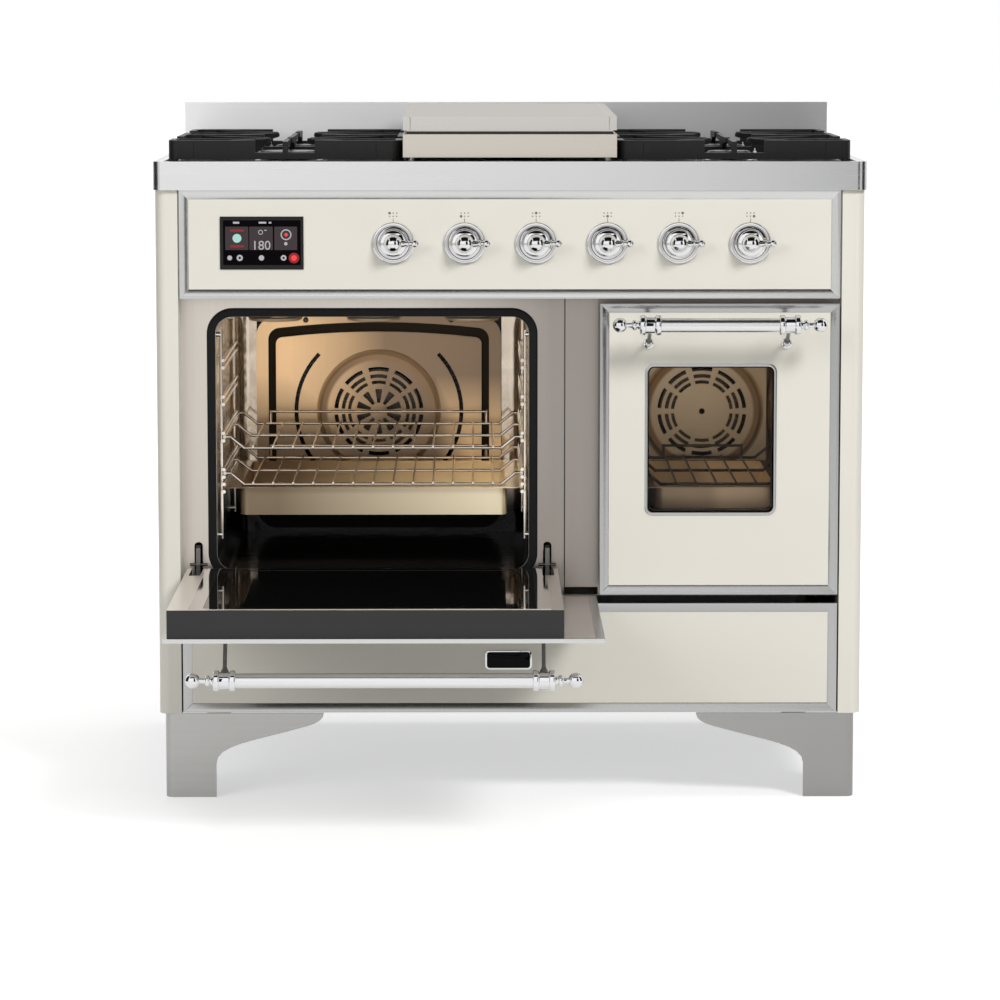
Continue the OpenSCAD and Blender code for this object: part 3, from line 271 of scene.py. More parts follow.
@dataclass(frozen=True)
class Finish:
    """A surface finish: the plain values of its shader, on which each kind lays its own pattern."""

    name: str
    colour: Colour
    roughness: float = 0.5
    metallic: float = 0.0
    coat: float = 0.0
    specular: float = 0.5

    def material(self) -> bpy.types.Material:
        """Build the material, or return it if it is built.

        Returns:
            The material.
        """
        found = bpy.data.materials.get(self.name)
        if found:
            return found
        made = bpy.data.materials.new(self.name)
        graph = Graph(made)
        for key, value in (("Base Color", self.colour), ("Roughness", self.roughness), ("Metallic", self.metallic),
                           ("Coat Weight", self.coat), ("Coat Roughness", COAT_GLOSS),
                           ("Specular IOR Level", self.specular)):
            graph.link(value, graph.shader.inputs[key])
        self.pattern(graph)
        return made

    def shade(self, graph: Graph, factor: Socket, change: float) -> None:
        """Vary the base colour.

        Args:
            graph: Graph of the material.
            factor: Where the second shade lies, 0 to 1.
            change: Brightness of the second shade against the first.
        """
        first = tuple(c * (1 - change / 2) for c in self.colour)
        second = tuple(min(1.0, c * (1 + change / 2)) for c in self.colour)
        graph.link(graph.mix(factor, first, second), graph.shader.inputs["Base Color"])

    def gloss(self, graph: Graph, factor: Socket, least: float, most: float) -> None:
        """Vary the roughness.

        Args:
            graph: Graph of the material.
            factor: Where the surface is rougher, 0 to 1.
            least: Least roughness, as a share of its value.
            most: Greatest roughness, as a share of its value.
        """
        ends = (self.roughness * least, self.roughness * most)
        graph.link(graph.spread(factor, *NOISE_SPAN, ends), graph.shader.inputs["Roughness"])

    def pattern(self, graph: Graph) -> None:
        """Lay the pattern of a smooth surface: faint clouds in its gloss and colour.

        Args:
            graph: Graph of the material.
        """
        cloud = graph.noise(stretch=9.0)
        self.shade(graph, cloud, change=0.06)
        self.gloss(graph, cloud, least=0.8, most=1.25)


@dataclass(frozen=True)
class Brushed(Finish):
    """Brushed sheet metal: fine parallel lines in colour, gloss and height."""

    metallic: float = 1.0
    grain: Grain = Grain.ACROSS
    contrast: float = 0.04
    relief: float = 0.00001
    lengthwise: float = 10.0
    broader: float = 4.0

    def pattern(self, graph: Graph) -> None:
        """Lay fine and broad lines along the grain.

        Args:
            graph: Graph of the material.
        """
        broad = tuple(f / self.broader if f > self.lengthwise else f for f in self.grain.value)
        fine = graph.noise(self.grain.value, detail=2.0)
        wide = graph.noise(broad, detail=1.0)
        both = graph.math("MULTIPLY_ADD", wide, 0.5, graph.math("MULTIPLY", fine, 0.5))
        self.shade(graph, graph.spread(both, *NOISE_SPAN), self.contrast)
        self.gloss(graph, both, least=0.93, most=1.08)
        graph.bump(fine, self.relief)


@dataclass(frozen=True)
class Enamel(Finish):
    """Fired or sprayed enamel: a gloss coat with a faint orange peel."""

    coat: float = 0.4
    peel: float = 0.00003

    def pattern(self, graph: Graph) -> None:
        """Lay the orange peel and a faint cloud in the colour.

        Args:
            graph: Graph of the material.
        """
        self.shade(graph, graph.noise(stretch=7.0), change=0.03)
        graph.bump(graph.noise(stretch=260.0, detail=1.0), self.peel)


@dataclass(frozen=True)
class Cast(Finish):
    """Cast metal: a grainy skin from the mould."""

    depth: float = 0.00025

    def pattern(self, graph: Graph) -> None:
        """Lay a coarse and a fine grain.

        Args:
            graph: Graph of the material.
        """
        grain = graph.noise(stretch=900.0, detail=4.0)
        self.shade(graph, graph.noise(stretch=60.0), change=0.5)
        self.gloss(graph, grain, least=0.75, most=1.2)
        graph.bump(grain, self.depth)


@dataclass(frozen=True)
class Speckled(Finish):
    """Oven enamel with fine specks: dark low down and on level faces, with painted warm reflection up its walls."""

    speck: Colour = (0.3, 0.28, 0.25)
    wall_reflection: Colour = (0.98, 0.85, 0.70)
    reflection_from: float = 0.0
    reflection_full: float = 1.0
    back: float = 1.0
    plates: tuple[Span, ...] = ()
    speck_span: Span = (0.68, 0.72)
    upright_span: Span = (0.3, 0.8)
    reflection_metal: float = 0.9
    waviness: float = 0.0006

    def pattern(self, graph: Graph) -> None:
        """Lay the specks and the painted reflection, paler up the walls but not behind the plates at the back.

        Args:
            graph: Graph of the material.
        """
        places = graph.axes()
        specks = graph.spread(graph.noise(stretch=1200.0, detail=1.0), *self.speck_span)
        # Painted reflection: upright faces grow pale and metallic with height, except behind the plates.
        height = graph.spread(places["Z"], self.reflection_from, self.reflection_full)
        level = graph.math("ABSOLUTE", graph.axes("Normal")["Z"])
        pale = graph.math("MULTIPLY", height, graph.spread(level, *self.upright_span, (1.0, 0.0)))
        behind = graph.beyond(places["Y"], self.back)
        for ends in self.plates:
            covered = graph.math("MULTIPLY", graph.inside(places["X"], *ends), behind)
            pale = graph.math("MULTIPLY", pale, graph.inverse(covered))
        walls = graph.mix(pale, self.colour, self.wall_reflection)
        graph.link(graph.mix(specks, walls, self.speck), graph.shader.inputs["Base Color"])
        graph.overlay(pale, {"Metallic": self.reflection_metal})
        graph.bump(graph.noise(stretch=40.0, detail=1.0), self.waviness)


@dataclass(frozen=True)
class Glass(Finish):
    """Clear or tinted glass, coated so that it mirrors little."""

    roughness: float = 0.02
    bend: float = 1.12
    smears: Point = (30.0, 30.0, 12.0)
    smear_span: Span = (0.45, 0.75)
    smeared: float = 3.0

    def pattern(self, graph: Graph) -> None:
        """Let light through, with faint smears in the gloss.

        Args:
            graph: Graph of the material.
        """
        ends = (self.roughness, self.roughness * self.smeared)
        smear = graph.spread(graph.noise(self.smears), *self.smear_span, ends)
        for key, value in (("Transmission Weight", 1.0), ("IOR", self.bend), ("Roughness", smear)):
            graph.link(value, graph.shader.inputs[key])


@dataclass(frozen=True)
class Glow(Finish):
    """A surface that gives light."""

    strength: float = 1.0

    def pattern(self, graph: Graph) -> None:
        """Let the surface glow evenly, with a faint cloud in its colour.

        Args:
            graph: Graph of the material.
        """
        graph.link(self.colour, graph.shader.inputs["Emission Color"])
        graph.link(self.strength, graph.shader.inputs["Emission Strength"])
        self.shade(graph, graph.noise(stretch=50.0), change=0.05)


@dataclass(frozen=True)
class Fibre(Finish):
    """Mineral wool: matted fibres."""

    across: Point = (500.0, 60.0, 60.0)
    upright: Point = (60.0, 60.0, 500.0)
    fibre_span: Span = (0.1, 0.45)
    pile: float = 0.002

    def pattern(self, graph: Graph) -> None:
        """Lay crossing fibres in colour and height.

        Args:
            graph: Graph of the material.
        """
        fibres = graph.math("MULTIPLY", graph.noise(self.across), graph.noise(self.upright))
        self.shade(graph, graph.spread(fibres, *self.fibre_span), change=0.6)
        graph.bump(fibres, self.pile)


@dataclass(frozen=True)
class Graded(Brushed):
    """Brushed sheet with a painted reflection: its colour runs evenly from one shade to another across the cooker.

    A crossing turns the painted run round low down: the heights where that begins and is whole, and the two
    places across between which the shade changes back. A crease is an upright line of painted shadow.
    """

    last: Colour = (0.5, 0.5, 0.5)
    start: float = 0.0
    end: float = 1.0
    crossing: Sides | None = None
    crease: float | None = None
    crease_half: float = 0.0007
    crease_shadow: Colour = (0.05, 0.05, 0.05)

    def pattern(self, graph: Graph) -> None:
        """Lay the brushed sheet, the painted reflection run, turned below a crossing, and the crease's painted
        shadow.

        Args:
            graph: Graph of the material.
        """
        super().pattern(graph)
        places = graph.axes()
        # Painted reflection: the colour runs from the first shade to the last across the cooker.
        share = graph.spread(places["X"], self.start, self.end)
        if self.crossing:
            low = graph.spread(places["Z"], *self.crossing[:2])
            right = graph.spread(places["X"], *self.crossing[2:])
            turned = graph.inverse(graph.math("MINIMUM", right, low))
            share = graph.math("MINIMUM", graph.math("MAXIMUM", share, low), turned)
        graph.overlay(share, {"Base Color": self.last})
        if self.crease is not None:
            # Painted shadow: a thin dark upright line at the crease.
            line = graph.inside(places["X"], self.crease - self.crease_half, self.crease + self.crease_half)
            graph.overlay(line, {"Base Color": self.crease_shadow})


@dataclass(frozen=True)
class Inlaid(Graded):
    """Graded sheet with black enamel inside a box of the frame, and a painted reflection at its two rounded ends."""

    low: Point = (0.0, 0.0, 0.0)
    high: Point = (0.0, 0.0, 0.0)
    inlay: Colour = (0.008, 0.008, 0.008)
    inlay_roughness: float = 0.25
    corner: float = 1.0
    corner_reflection: Colour = (0.80, 0.80, 0.81)
    corner_blur: float = 0.0012

    def pattern(self, graph: Graph) -> None:
        """Lay the graded sheet, the enamel in its box and the painted reflection at the ends.

        Args:
            graph: Graph of the material.
        """
        super().pattern(graph)
        places = graph.axes()
        across, deep, high = [graph.inside(places[axis], *ends) for axis, *ends in zip("XYZ", self.low, self.high)]
        mask = graph.math("MULTIPLY", graph.math("MULTIPLY", across, deep), high)
        graph.overlay(mask, {"Base Color": self.inlay, "Roughness": self.inlay_roughness, "Metallic": 0.0})
        # Painted reflection: another shade on the rounded ends, beyond the corner on either side.
        aside = graph.math("ABSOLUTE", places["X"])
        graph.overlay(graph.beyond(aside, self.corner, self.corner_blur), {"Base Color": self.corner_reflection})


@dataclass(frozen=True)
class Pressed(Graded):
    """Oven plates with painted shade in the pressed groove, at the foot, on each dish's brown slope and the last
    boss.
    """

    groove_from: float = 0.0
    foot: float = 0.0
    # Painted shade of the groove, of the foot under the tray and of the last boss.
    dark: Colour = (0.010, 0.008, 0.006)
    dishes: tuple[Span, ...] = ()
    slope: Span = (0.0, 0.0)
    slope_painted_shade: Colour = (0.24, 0.185, 0.14)
    beside: float = 1.0
    beside_painted_shade: Colour = (0.58, 0.54, 0.47)
    boss: float = 0.0045
    boss_blur: float = 0.0006
    slope_blur: float = 0.004
    foot_blur: float = 0.012

    def pattern(self, graph: Graph) -> None:
        """Lay the graded sheet and the painted shade beside it, then the slopes, the boss, the groove and the foot.

        Args:
            graph: Graph of the material.
        """
        super().pattern(graph)
        places = graph.axes()
        # Painted shade: the plate beyond the middle, in the other oven, takes one even shade of its own.
        graph.overlay(graph.beyond(places["X"], self.beside), {"Base Color": self.beside_painted_shade})
        for x, z in self.dishes:
            offsets = (graph.math("SUBTRACT", places["X"], x), graph.math("SUBTRACT", places["Z"], z))
            squares = [graph.math("POWER", graph.math("ABSOLUTE", offset), 2.0) for offset in offsets]
            reach = graph.math("SQRT", graph.math("ADD", *squares))
            inner, outer = [graph.beyond(reach, edge, self.slope_blur) for edge in self.slope]
            ring = graph.math("SUBTRACT", inner, graph.math("MULTIPLY", inner, outer))
            # Painted shade on the slope round each dish.
            graph.overlay(ring, {"Base Color": self.slope_painted_shade, "Roughness": 0.5, "Metallic": 0.35})
        # Painted shade: a dark disc at the middle of the last dish, where its hole is.
        boss = graph.inverse(graph.beyond(reach, self.boss, self.boss_blur))
        graph.overlay(boss, {"Base Color": self.dark, "Metallic": 0.0})
        # Painted shade in the pressed groove and at the foot, below the middle of the tray.
        foot = graph.inverse(graph.beyond(places["Z"], self.foot, self.foot_blur))
        mask = graph.math("MAXIMUM", graph.beyond(places["Y"], self.groove_from), foot)
        graph.overlay(mask, {"Base Color": self.dark, "Roughness": 0.45, "Metallic": 0.0})


@dataclass(frozen=True)
class Facing(Graded):
    """Graded sheet, with painted shade where it faces one way along Z, below its seam and above its crest."""

    facing: float = 1.0
    turned: Colour = (0.4, 0.4, 0.4)
    turned_metal: float = 0.35
    seam: float = -1.0
    crest: float = 9.0
    painted_shadow: Colour = (0.03, 0.027, 0.024)
    seam_blur: float = 0.0004

    def pattern(self, graph: Graph) -> None:
        """Lay the graded sheet, the painted shade of the faces that look up or down, the seam and the crest.

        Args:
            graph: Graph of the material.
        """
        super().pattern(graph)
        # Painted shade on the faces that look up, or down where facing is -1.
        turned = graph.math("MULTIPLY", graph.axes("Normal")["Z"], self.facing)
        graph.overlay(graph.beyond(turned, FACING_LIMIT, FACING_BLUR),
                      {"Base Color": self.turned, "Roughness": 0.45, "Metallic": self.turned_metal})
        # Painted shadow below the seam and above the crest.
        height = graph.axes()["Z"]
        below = graph.inverse(graph.beyond(height, self.seam, self.seam_blur))
        dark = graph.math("MAXIMUM", below, graph.beyond(height, self.crest))
        graph.overlay(dark, {"Base Color": self.painted_shadow, "Metallic": 0.0})


@dataclass(frozen=True)
class Backed(Enamel):
    """Painted sheet whose back is bare steel."""

    back: str = "Y"
    steel: Colour = (1.0, 0.95, 0.90)

    def pattern(self, graph: Graph) -> None:
        """Lay the enamel, and the steel where the surface faces backwards.

        Args:
            graph: Graph of the material.
        """
        super().pattern(graph)
        mask = graph.beyond(graph.axes("Normal")[self.back], FACING_LIMIT, FACING_BLUR)
        graph.overlay(mask, {"Base Color": self.steel, "Roughness": 0.32, "Metallic": 1.0})


CREAM_COLOUR = (0.845, 0.812, 0.722)
CREAM = Enamel("cream_enamel_coat", CREAM_COLOUR, roughness=0.3)
CREAM_OPENED = Backed("cream_opened_door", CREAM_COLOUR, roughness=0.3, back="Z")
CREAM_SHUT = Backed("cream_shut_door", CREAM_COLOUR, roughness=0.3, back="Y")
# Painted reflection: the legs darken evenly from left to right.
STEEL_LEGS = Graded("steel_brushed_across", (0.52, 0.515, 0.50), roughness=0.3, contrast=0.07,
                    last=(0.42, 0.415, 0.405), start=-0.45, end=0.45)
# Painted reflection: the backguard runs from white at the left end to grey at the right.
STEEL_GUARD = Graded("steel_guard", (1.0, 1.0, 1.0), roughness=0.36, metallic=0.45, contrast=0.03,
                     last=(0.44, 0.44, 0.44), start=-0.45, end=0.45)
# Painted reflection: the door liner grows lighter from the left towards the middle.
STEEL_LINER = Graded("steel_door_liner", (0.62, 0.60, 0.57), roughness=0.06, contrast=0.02,
                     last=(0.92, 0.89, 0.85), start=-0.45, end=0.05)
STEEL_WARM = Brushed("steel_warm", (0.79, 0.73, 0.65), roughness=0.26, contrast=0.03)
# One trim steel in two copies: the pale one is painted lighter where the trims catch more light.
STEEL_TRIM = Brushed("steel_trim", (0.53, 0.53, 0.525), roughness=0.2, contrast=0.03)
STEEL_TRIM_LIT = Brushed("steel_trim_painted_light", (0.75, 0.75, 0.735), roughness=0.24, contrast=0.03)
ZINC = Finish("zinc_sheet", (0.52, 0.53, 0.54), roughness=0.4, metallic=1.0)
CHROME = Finish("chrome_polished", (0.86, 0.86, 0.87), roughness=0.04, metallic=1.0)
# Painted shade: the handle posts are chrome darkened to the shade that they mirror.
POST = Finish("post_steel_painted_shade", (0.20, 0.20, 0.20), roughness=0.2, metallic=1.0)
SATIN = Brushed("satin_bar", (0.90, 0.90, 0.90), roughness=0.28, contrast=0.03)
WIRE = Finish("bright_wire", (0.95, 0.91, 0.84), roughness=0.1, metallic=1.0)
SHELF_WIRE = Finish("shelf_wire", (0.78, 0.71, 0.62), roughness=0.12, metallic=1.0)
SEAL = Cast("seal_rubber", (0.006, 0.006, 0.006), roughness=0.55, depth=0.0001, specular=0.25)
CORE_COLOUR = (0.036, 0.035, 0.036)
CORE_OPENED = Backed("core_opened_door", CORE_COLOUR, roughness=0.5, coat=0.0, specular=0.3, back="Z")
CORE_SHUT = Backed("core_shut_door", CORE_COLOUR, roughness=0.5, coat=0.0, specular=0.3, back="Y")
BLACK_GLASS = Finish("black_glass", (0.002, 0.002, 0.002), roughness=0.04, specular=0.08)
DOOR_GLASS = Finish("inner_door_glass", (0.004, 0.004, 0.004), roughness=0.03, specular=0.4)
WINDOW = Glass("window_glass", (0.88, 0.85, 0.81))
LAMP_GLASS = Glow("oven_lamp_glass", (1.0, 0.78, 0.5), strength=2.0, roughness=0.3)
IRON = Cast("cast_iron_enamel", (0.012, 0.012, 0.012), roughness=0.42, specular=0.35)
CAP = Cast("burner_cap_enamel", (0.010, 0.010, 0.010), roughness=0.3, depth=0.00006)
ALLOY = Cast("cast_alloy", (0.80, 0.80, 0.78), roughness=0.3, metallic=1.0, depth=0.00008)
BRASS = Finish("turned_brass", (0.72, 0.52, 0.24), roughness=0.25, metallic=1.0)
# Painted reflection, dark at the left to bright at the right, and painted shade on the underside.
TRAY = Facing("tray_steel", (0.27, 0.20, 0.13), roughness=0.22, metallic=0.65, last=(1.0, 0.86, 0.60),
              start=-0.33, end=-0.03, facing=-1.0, turned=(0.012, 0.010, 0.008), turned_metal=0.1)
FAN = Finish("fan_steel", (0.10, 0.085, 0.07), roughness=0.3, metallic=1.0)
TUBE = Finish("heated_tube", (0.85, 0.66, 0.44), roughness=0.35, metallic=0.5)
HINGE = Finish("hinge_steel", (0.20, 0.19, 0.18), roughness=0.3, metallic=1.0)
MOTOR = Finish("motor_paint", (0.10, 0.10, 0.11), roughness=0.5)
WOOL = Fibre("wool_blanket", (0.62, 0.56, 0.36), roughness=0.95)
PRINT = Finish("grey_print", (0.17, 0.17, 0.16), roughness=0.5)
CERAMIC = Finish("white_ceramic", (0.85, 0.84, 0.8), roughness=0.25, coat=0.4)
SCREEN = Finish("screen_glass", (0.002, 0.001, 0.002), roughness=0.06, specular=0.06)
SCREEN_FRAME = Finish("screen_frame", (0.016, 0.016, 0.015), roughness=0.35, specular=0.2)
SCREEN_RED = Glow("screen_red", (0.55, 0.03, 0.035), strength=0.9, roughness=0.3)
SCREEN_DEEP_RED = Glow("screen_deep_red", (0.16, 0.004, 0.006), strength=0.8, roughness=0.3)
SCREEN_PALE = Glow("screen_pale", (0.27, 0.26, 0.27), strength=0.8, roughness=0.3)
SCREEN_TEAL = Glow("screen_teal", (0.22, 0.38, 0.34), strength=0.9, roughness=0.3)
SCREEN_PANE = Glow("screen_pane", (0.034, 0.026, 0.028), strength=0.6, roughness=0.2, specular=0.15)


class Draft:
    """A mesh in the making: shapes are added one by one, and the sum becomes one object."""

    def __init__(self) -> None:
        """Start with nothing."""
        self.mesh = bmesh.new()
        self.finishes: list[Finish] = []

    def slot(self, finish: Finish) -> int:
        """Give the material index of a finish.

        Args:
            finish: Finish to look up or add.

        Returns:
            Its index.
        """
        if finish not in self.finishes:
            self.finishes.append(finish)
        return self.finishes.index(finish)

    def lathe(self, profile: Profile, finish: Finish, at: Matrix, sides: int) -> "Draft":
        """Turn a profile about Z.

        Args:
            profile: Points as radius and height, from one pole to the other.
            finish: Finish of the surface.
            at: Where the shape goes.
            sides: Number of facets round the axis.

        Returns:
            The draft itself.
        """
        rings = []
        for radius, height in profile:
            turns = [2 * math.pi * i / sides for i in range(sides if radius > POLE else 1)]
            rings.append([self.mesh.verts.new(at @ Vector((radius * math.cos(t), radius * math.sin(t), height)))
                          for t in turns])
        index = self.slot(finish)
        for low, high in zip(rings, rings[1:]):
            for i in range(sides):
                corners = list(dict.fromkeys((low[i % len(low)], low[(i + 1) % len(low)],
                                              high[(i + 1) % len(high)], high[i % len(high)])))
                if len(corners) > 2:
                    self.mesh.faces.new(corners).material_index = index
        return self

    def plate(self, outline: Profile, thick: float, finish: Finish, at: Matrix) -> "Draft":
        """Raise a flat outline along Z.

        Args:
            outline: Corners as X and Y, anticlockwise.
            thick: Height of the plate.
            finish: Finish of the plate.
            at: Where the shape goes.

        Returns:
            The draft itself.
        """
        index = self.slot(finish)
        low = [self.mesh.verts.new(at @ Vector((x, y, 0.0))) for x, y in outline]
        high = [self.mesh.verts.new(at @ Vector((x, y, thick))) for x, y in outline]
        faces = [list(reversed(low)), high]
        faces += [[low[i - 1], low[i], high[i], high[i - 1]] for i in range(len(low))]
        for corners in faces:
            self.mesh.faces.new(corners).material_index = index
        return self

    def frame(self, outer: Profile, inner: Profile, thick: float, finish: Finish, at: Matrix) -> "Draft":
        """Raise the space between two outlines of equal length along Z.

        Args:
            outer: Outer corners, anticlockwise.
            inner: Inner corners, in the same order.
            thick: Height of the frame.
            finish: Finish of the frame.
            at: Where the shape goes.

        Returns:
            The draft itself.
        """
        index = self.slot(finish)
        rows = [[self.mesh.verts.new(at @ Vector((x, y, z))) for x, y in line]
                for line, z in ((outer, 0.0), (outer, thick), (inner, thick), (inner, 0.0))]
        for a, b in zip(rows, rows[1:] + rows[:1]):
            for i in range(len(a)):
                self.mesh.faces.new([a[i - 1], a[i], b[i], b[i - 1]]).material_index = index
        return self

    def piece(self, name: str, body: str, slot: str, bevel: float = 0.0, crease: float = CREASE,
              place: Matrix | None = None) -> bpy.types.Object:
        """Close the draft and make it a piece of the cooker.

        Args:
            name: Name of the piece.
            body: Body that it moves with.
            slot: Material slot of the record; not used.
            bevel: Width of the rounding of sharp edges, in metres.
            crease: Angle above which an edge is sharp, in degrees.
            place: Matrix that puts the finished mesh in its place.

        Returns:
            The new object.
        """
        bmesh.ops.remove_doubles(self.mesh, verts=self.mesh.verts, dist=WELD)
        bmesh.ops.recalc_face_normals(self.mesh, faces=self.mesh.faces)
        if place:
            bmesh.ops.transform(self.mesh, matrix=place, verts=self.mesh.verts)
        round_edges(self.mesh, bevel, crease)
        return enlist(settle(self.mesh, name, self.finishes), body)


def settle(mesh: bmesh.types.BMesh, name: str, finishes: list[Finish]) -> bpy.types.Object:
    """Turn a mesh in the making into an object with its finishes.

    Args:
        mesh: Mesh to use up.
        name: Name of the object and its mesh.
        finishes: Finishes in the order of the material indices.

    Returns:
        The object, linked to no scene.
    """
    data = bpy.data.meshes.new(name)
    mesh.to_mesh(data)
    mesh.free()
    for finish in finishes:
        data.materials.append(finish.material())
    return bpy.data.objects.new(name, data)


def show(name: str, data: bpy.types.ID) -> bpy.types.Object:
    """Make an object and link it to the scene.

    Args:
        name: Name of the object.
        data: Its mesh, lamp or camera.

    Returns:
        The object.
    """
    made = bpy.data.objects.new(name, data)
    bpy.context.scene.collection.objects.link(made)
    return made


def evaluated_mesh(piece: bpy.types.Object) -> bpy.types.Mesh:
    """Mesh of a linked object with its modifiers applied.

    Args:
        piece: Object with modifiers.

    Returns:
        The new mesh.
    """
    bpy.context.view_layer.update()
    return bpy.data.meshes.new_from_object(piece.evaluated_get(bpy.context.evaluated_depsgraph_get()))


def round_edges(mesh: bmesh.types.BMesh, width: float, crease: float) -> None:
    """Round the sharp edges of a mesh and shade the rest smooth.

    Args:
        mesh: Mesh to work on.
        width: Width of the rounding, or 0 for none.
        crease: Angle above which an edge is sharp, in degrees.
    """
    limit = math.radians(crease)
    if width:
        sharp = [e for e in mesh.edges if len(e.link_faces) == 2 and e.calc_face_angle(0.0) > limit]
        bmesh.ops.bevel(mesh, geom=sharp, offset=width, segments=2, profile=0.5, affect="EDGES",
                        clamp_overlap=True, harden_normals=False)
    for face in mesh.faces:
        face.smooth = True
    for edge in mesh.edges:
        edge.smooth = len(edge.link_faces) == 2 and edge.calc_face_angle(0.0) < limit


def enlist(piece: bpy.types.Object, body: str) -> bpy.types.Object:
    """Link a piece, tie it to its body and report it.

    Args:
        piece: Object to take in.
        body: Body that it moves with.

    Returns:
        The piece.
    """
    bpy.context.scene.collection.objects.link(piece)
    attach(piece, body)
    LOG.info("%s: %d faces on %s", piece.name, len(piece.data.polygons), body)
    return piece


def weigh_normals(piece: bpy.types.Object) -> None:
    """Let the large faces of a piece set its shading, and keep the result in its mesh.

    Args:
        piece: Object with a bevelled mesh.
    """
    modifier = piece.modifiers.new("weights", "WEIGHTED_NORMAL")
    modifier.keep_sharp = True
    solid = evaluated_mesh(piece)
    piece.modifiers.remove(modifier)
    piece.data = solid


def arc(cx: float, cy: float, radius: float, start: float, end: float, steps: int = 8) -> Profile:
    """Points on an arc about a centre, from a start to an end angle in degrees."""
    turns = [math.radians(start + (end - start) * i / steps) for i in range(steps + 1)]
    return [(cx + radius * math.cos(t), cy + radius * math.sin(t)) for t in turns]


def rounded(sides: Sides, radius: float, steps: int = 8, grown: float = 0.0) -> Profile:
    """Outline of a rectangle with round corners.

    Args:
        sides: Left, right, lower and upper side.
        radius: Corner radius.
        steps: Steps in each corner.
        grown: Distance by which each side moves outwards.

    Returns:
        The corners, anticlockwise.
    """
    x0, x1, y0, y1 = sides[0] - grown, sides[1] + grown, sides[2] - grown, sides[3] + grown
    corners = ((x1 - radius, y0 + radius, -90), (x1 - radius, y1 - radius, 0),
               (x0 + radius, y1 - radius, 90), (x0 + radius, y0 + radius, 180))
    return [p for cx, cy, a in corners for p in arc(cx, cy, radius, a, a + 90, steps)]


def disc(cx: float, cy: float, radius: float) -> Profile:
    """Outline of a disc with 24 corners."""
    return arc(cx, cy, radius, 0, 345, 23)


def square(sides: Sides) -> Profile:
    """Outline of a rectangle with sharp corners, from its left, right, lower and upper side."""
    return [(sides[i], sides[j]) for i, j in ((0, 2), (1, 2), (1, 3), (0, 3))]


def facing_front(x: float, y: float, z: float) -> Matrix:
    """Matrix of a place that turns Z towards the front and Y upwards, and keeps X to the right."""
    return Matrix.Translation((x, y, z)) @ Matrix.Rotation(math.pi / 2, 4, "X")


def centre(node: str) -> Vector:
    """Middle of the box of a CAD node."""
    low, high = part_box(node)
    return (low + high) / 2


def paint(finish: Finish, *nodes: str) -> None:
    """Give CAD nodes a finish.

    Args:
        finish: Finish to give.
        nodes: Names of the nodes.
    """
    for name in nodes:
        node = frame["nodes"][name]
        node.data.materials.clear()
        node.data.materials.append(finish.material())
        LOG.info("%s: %s", name, finish.name)


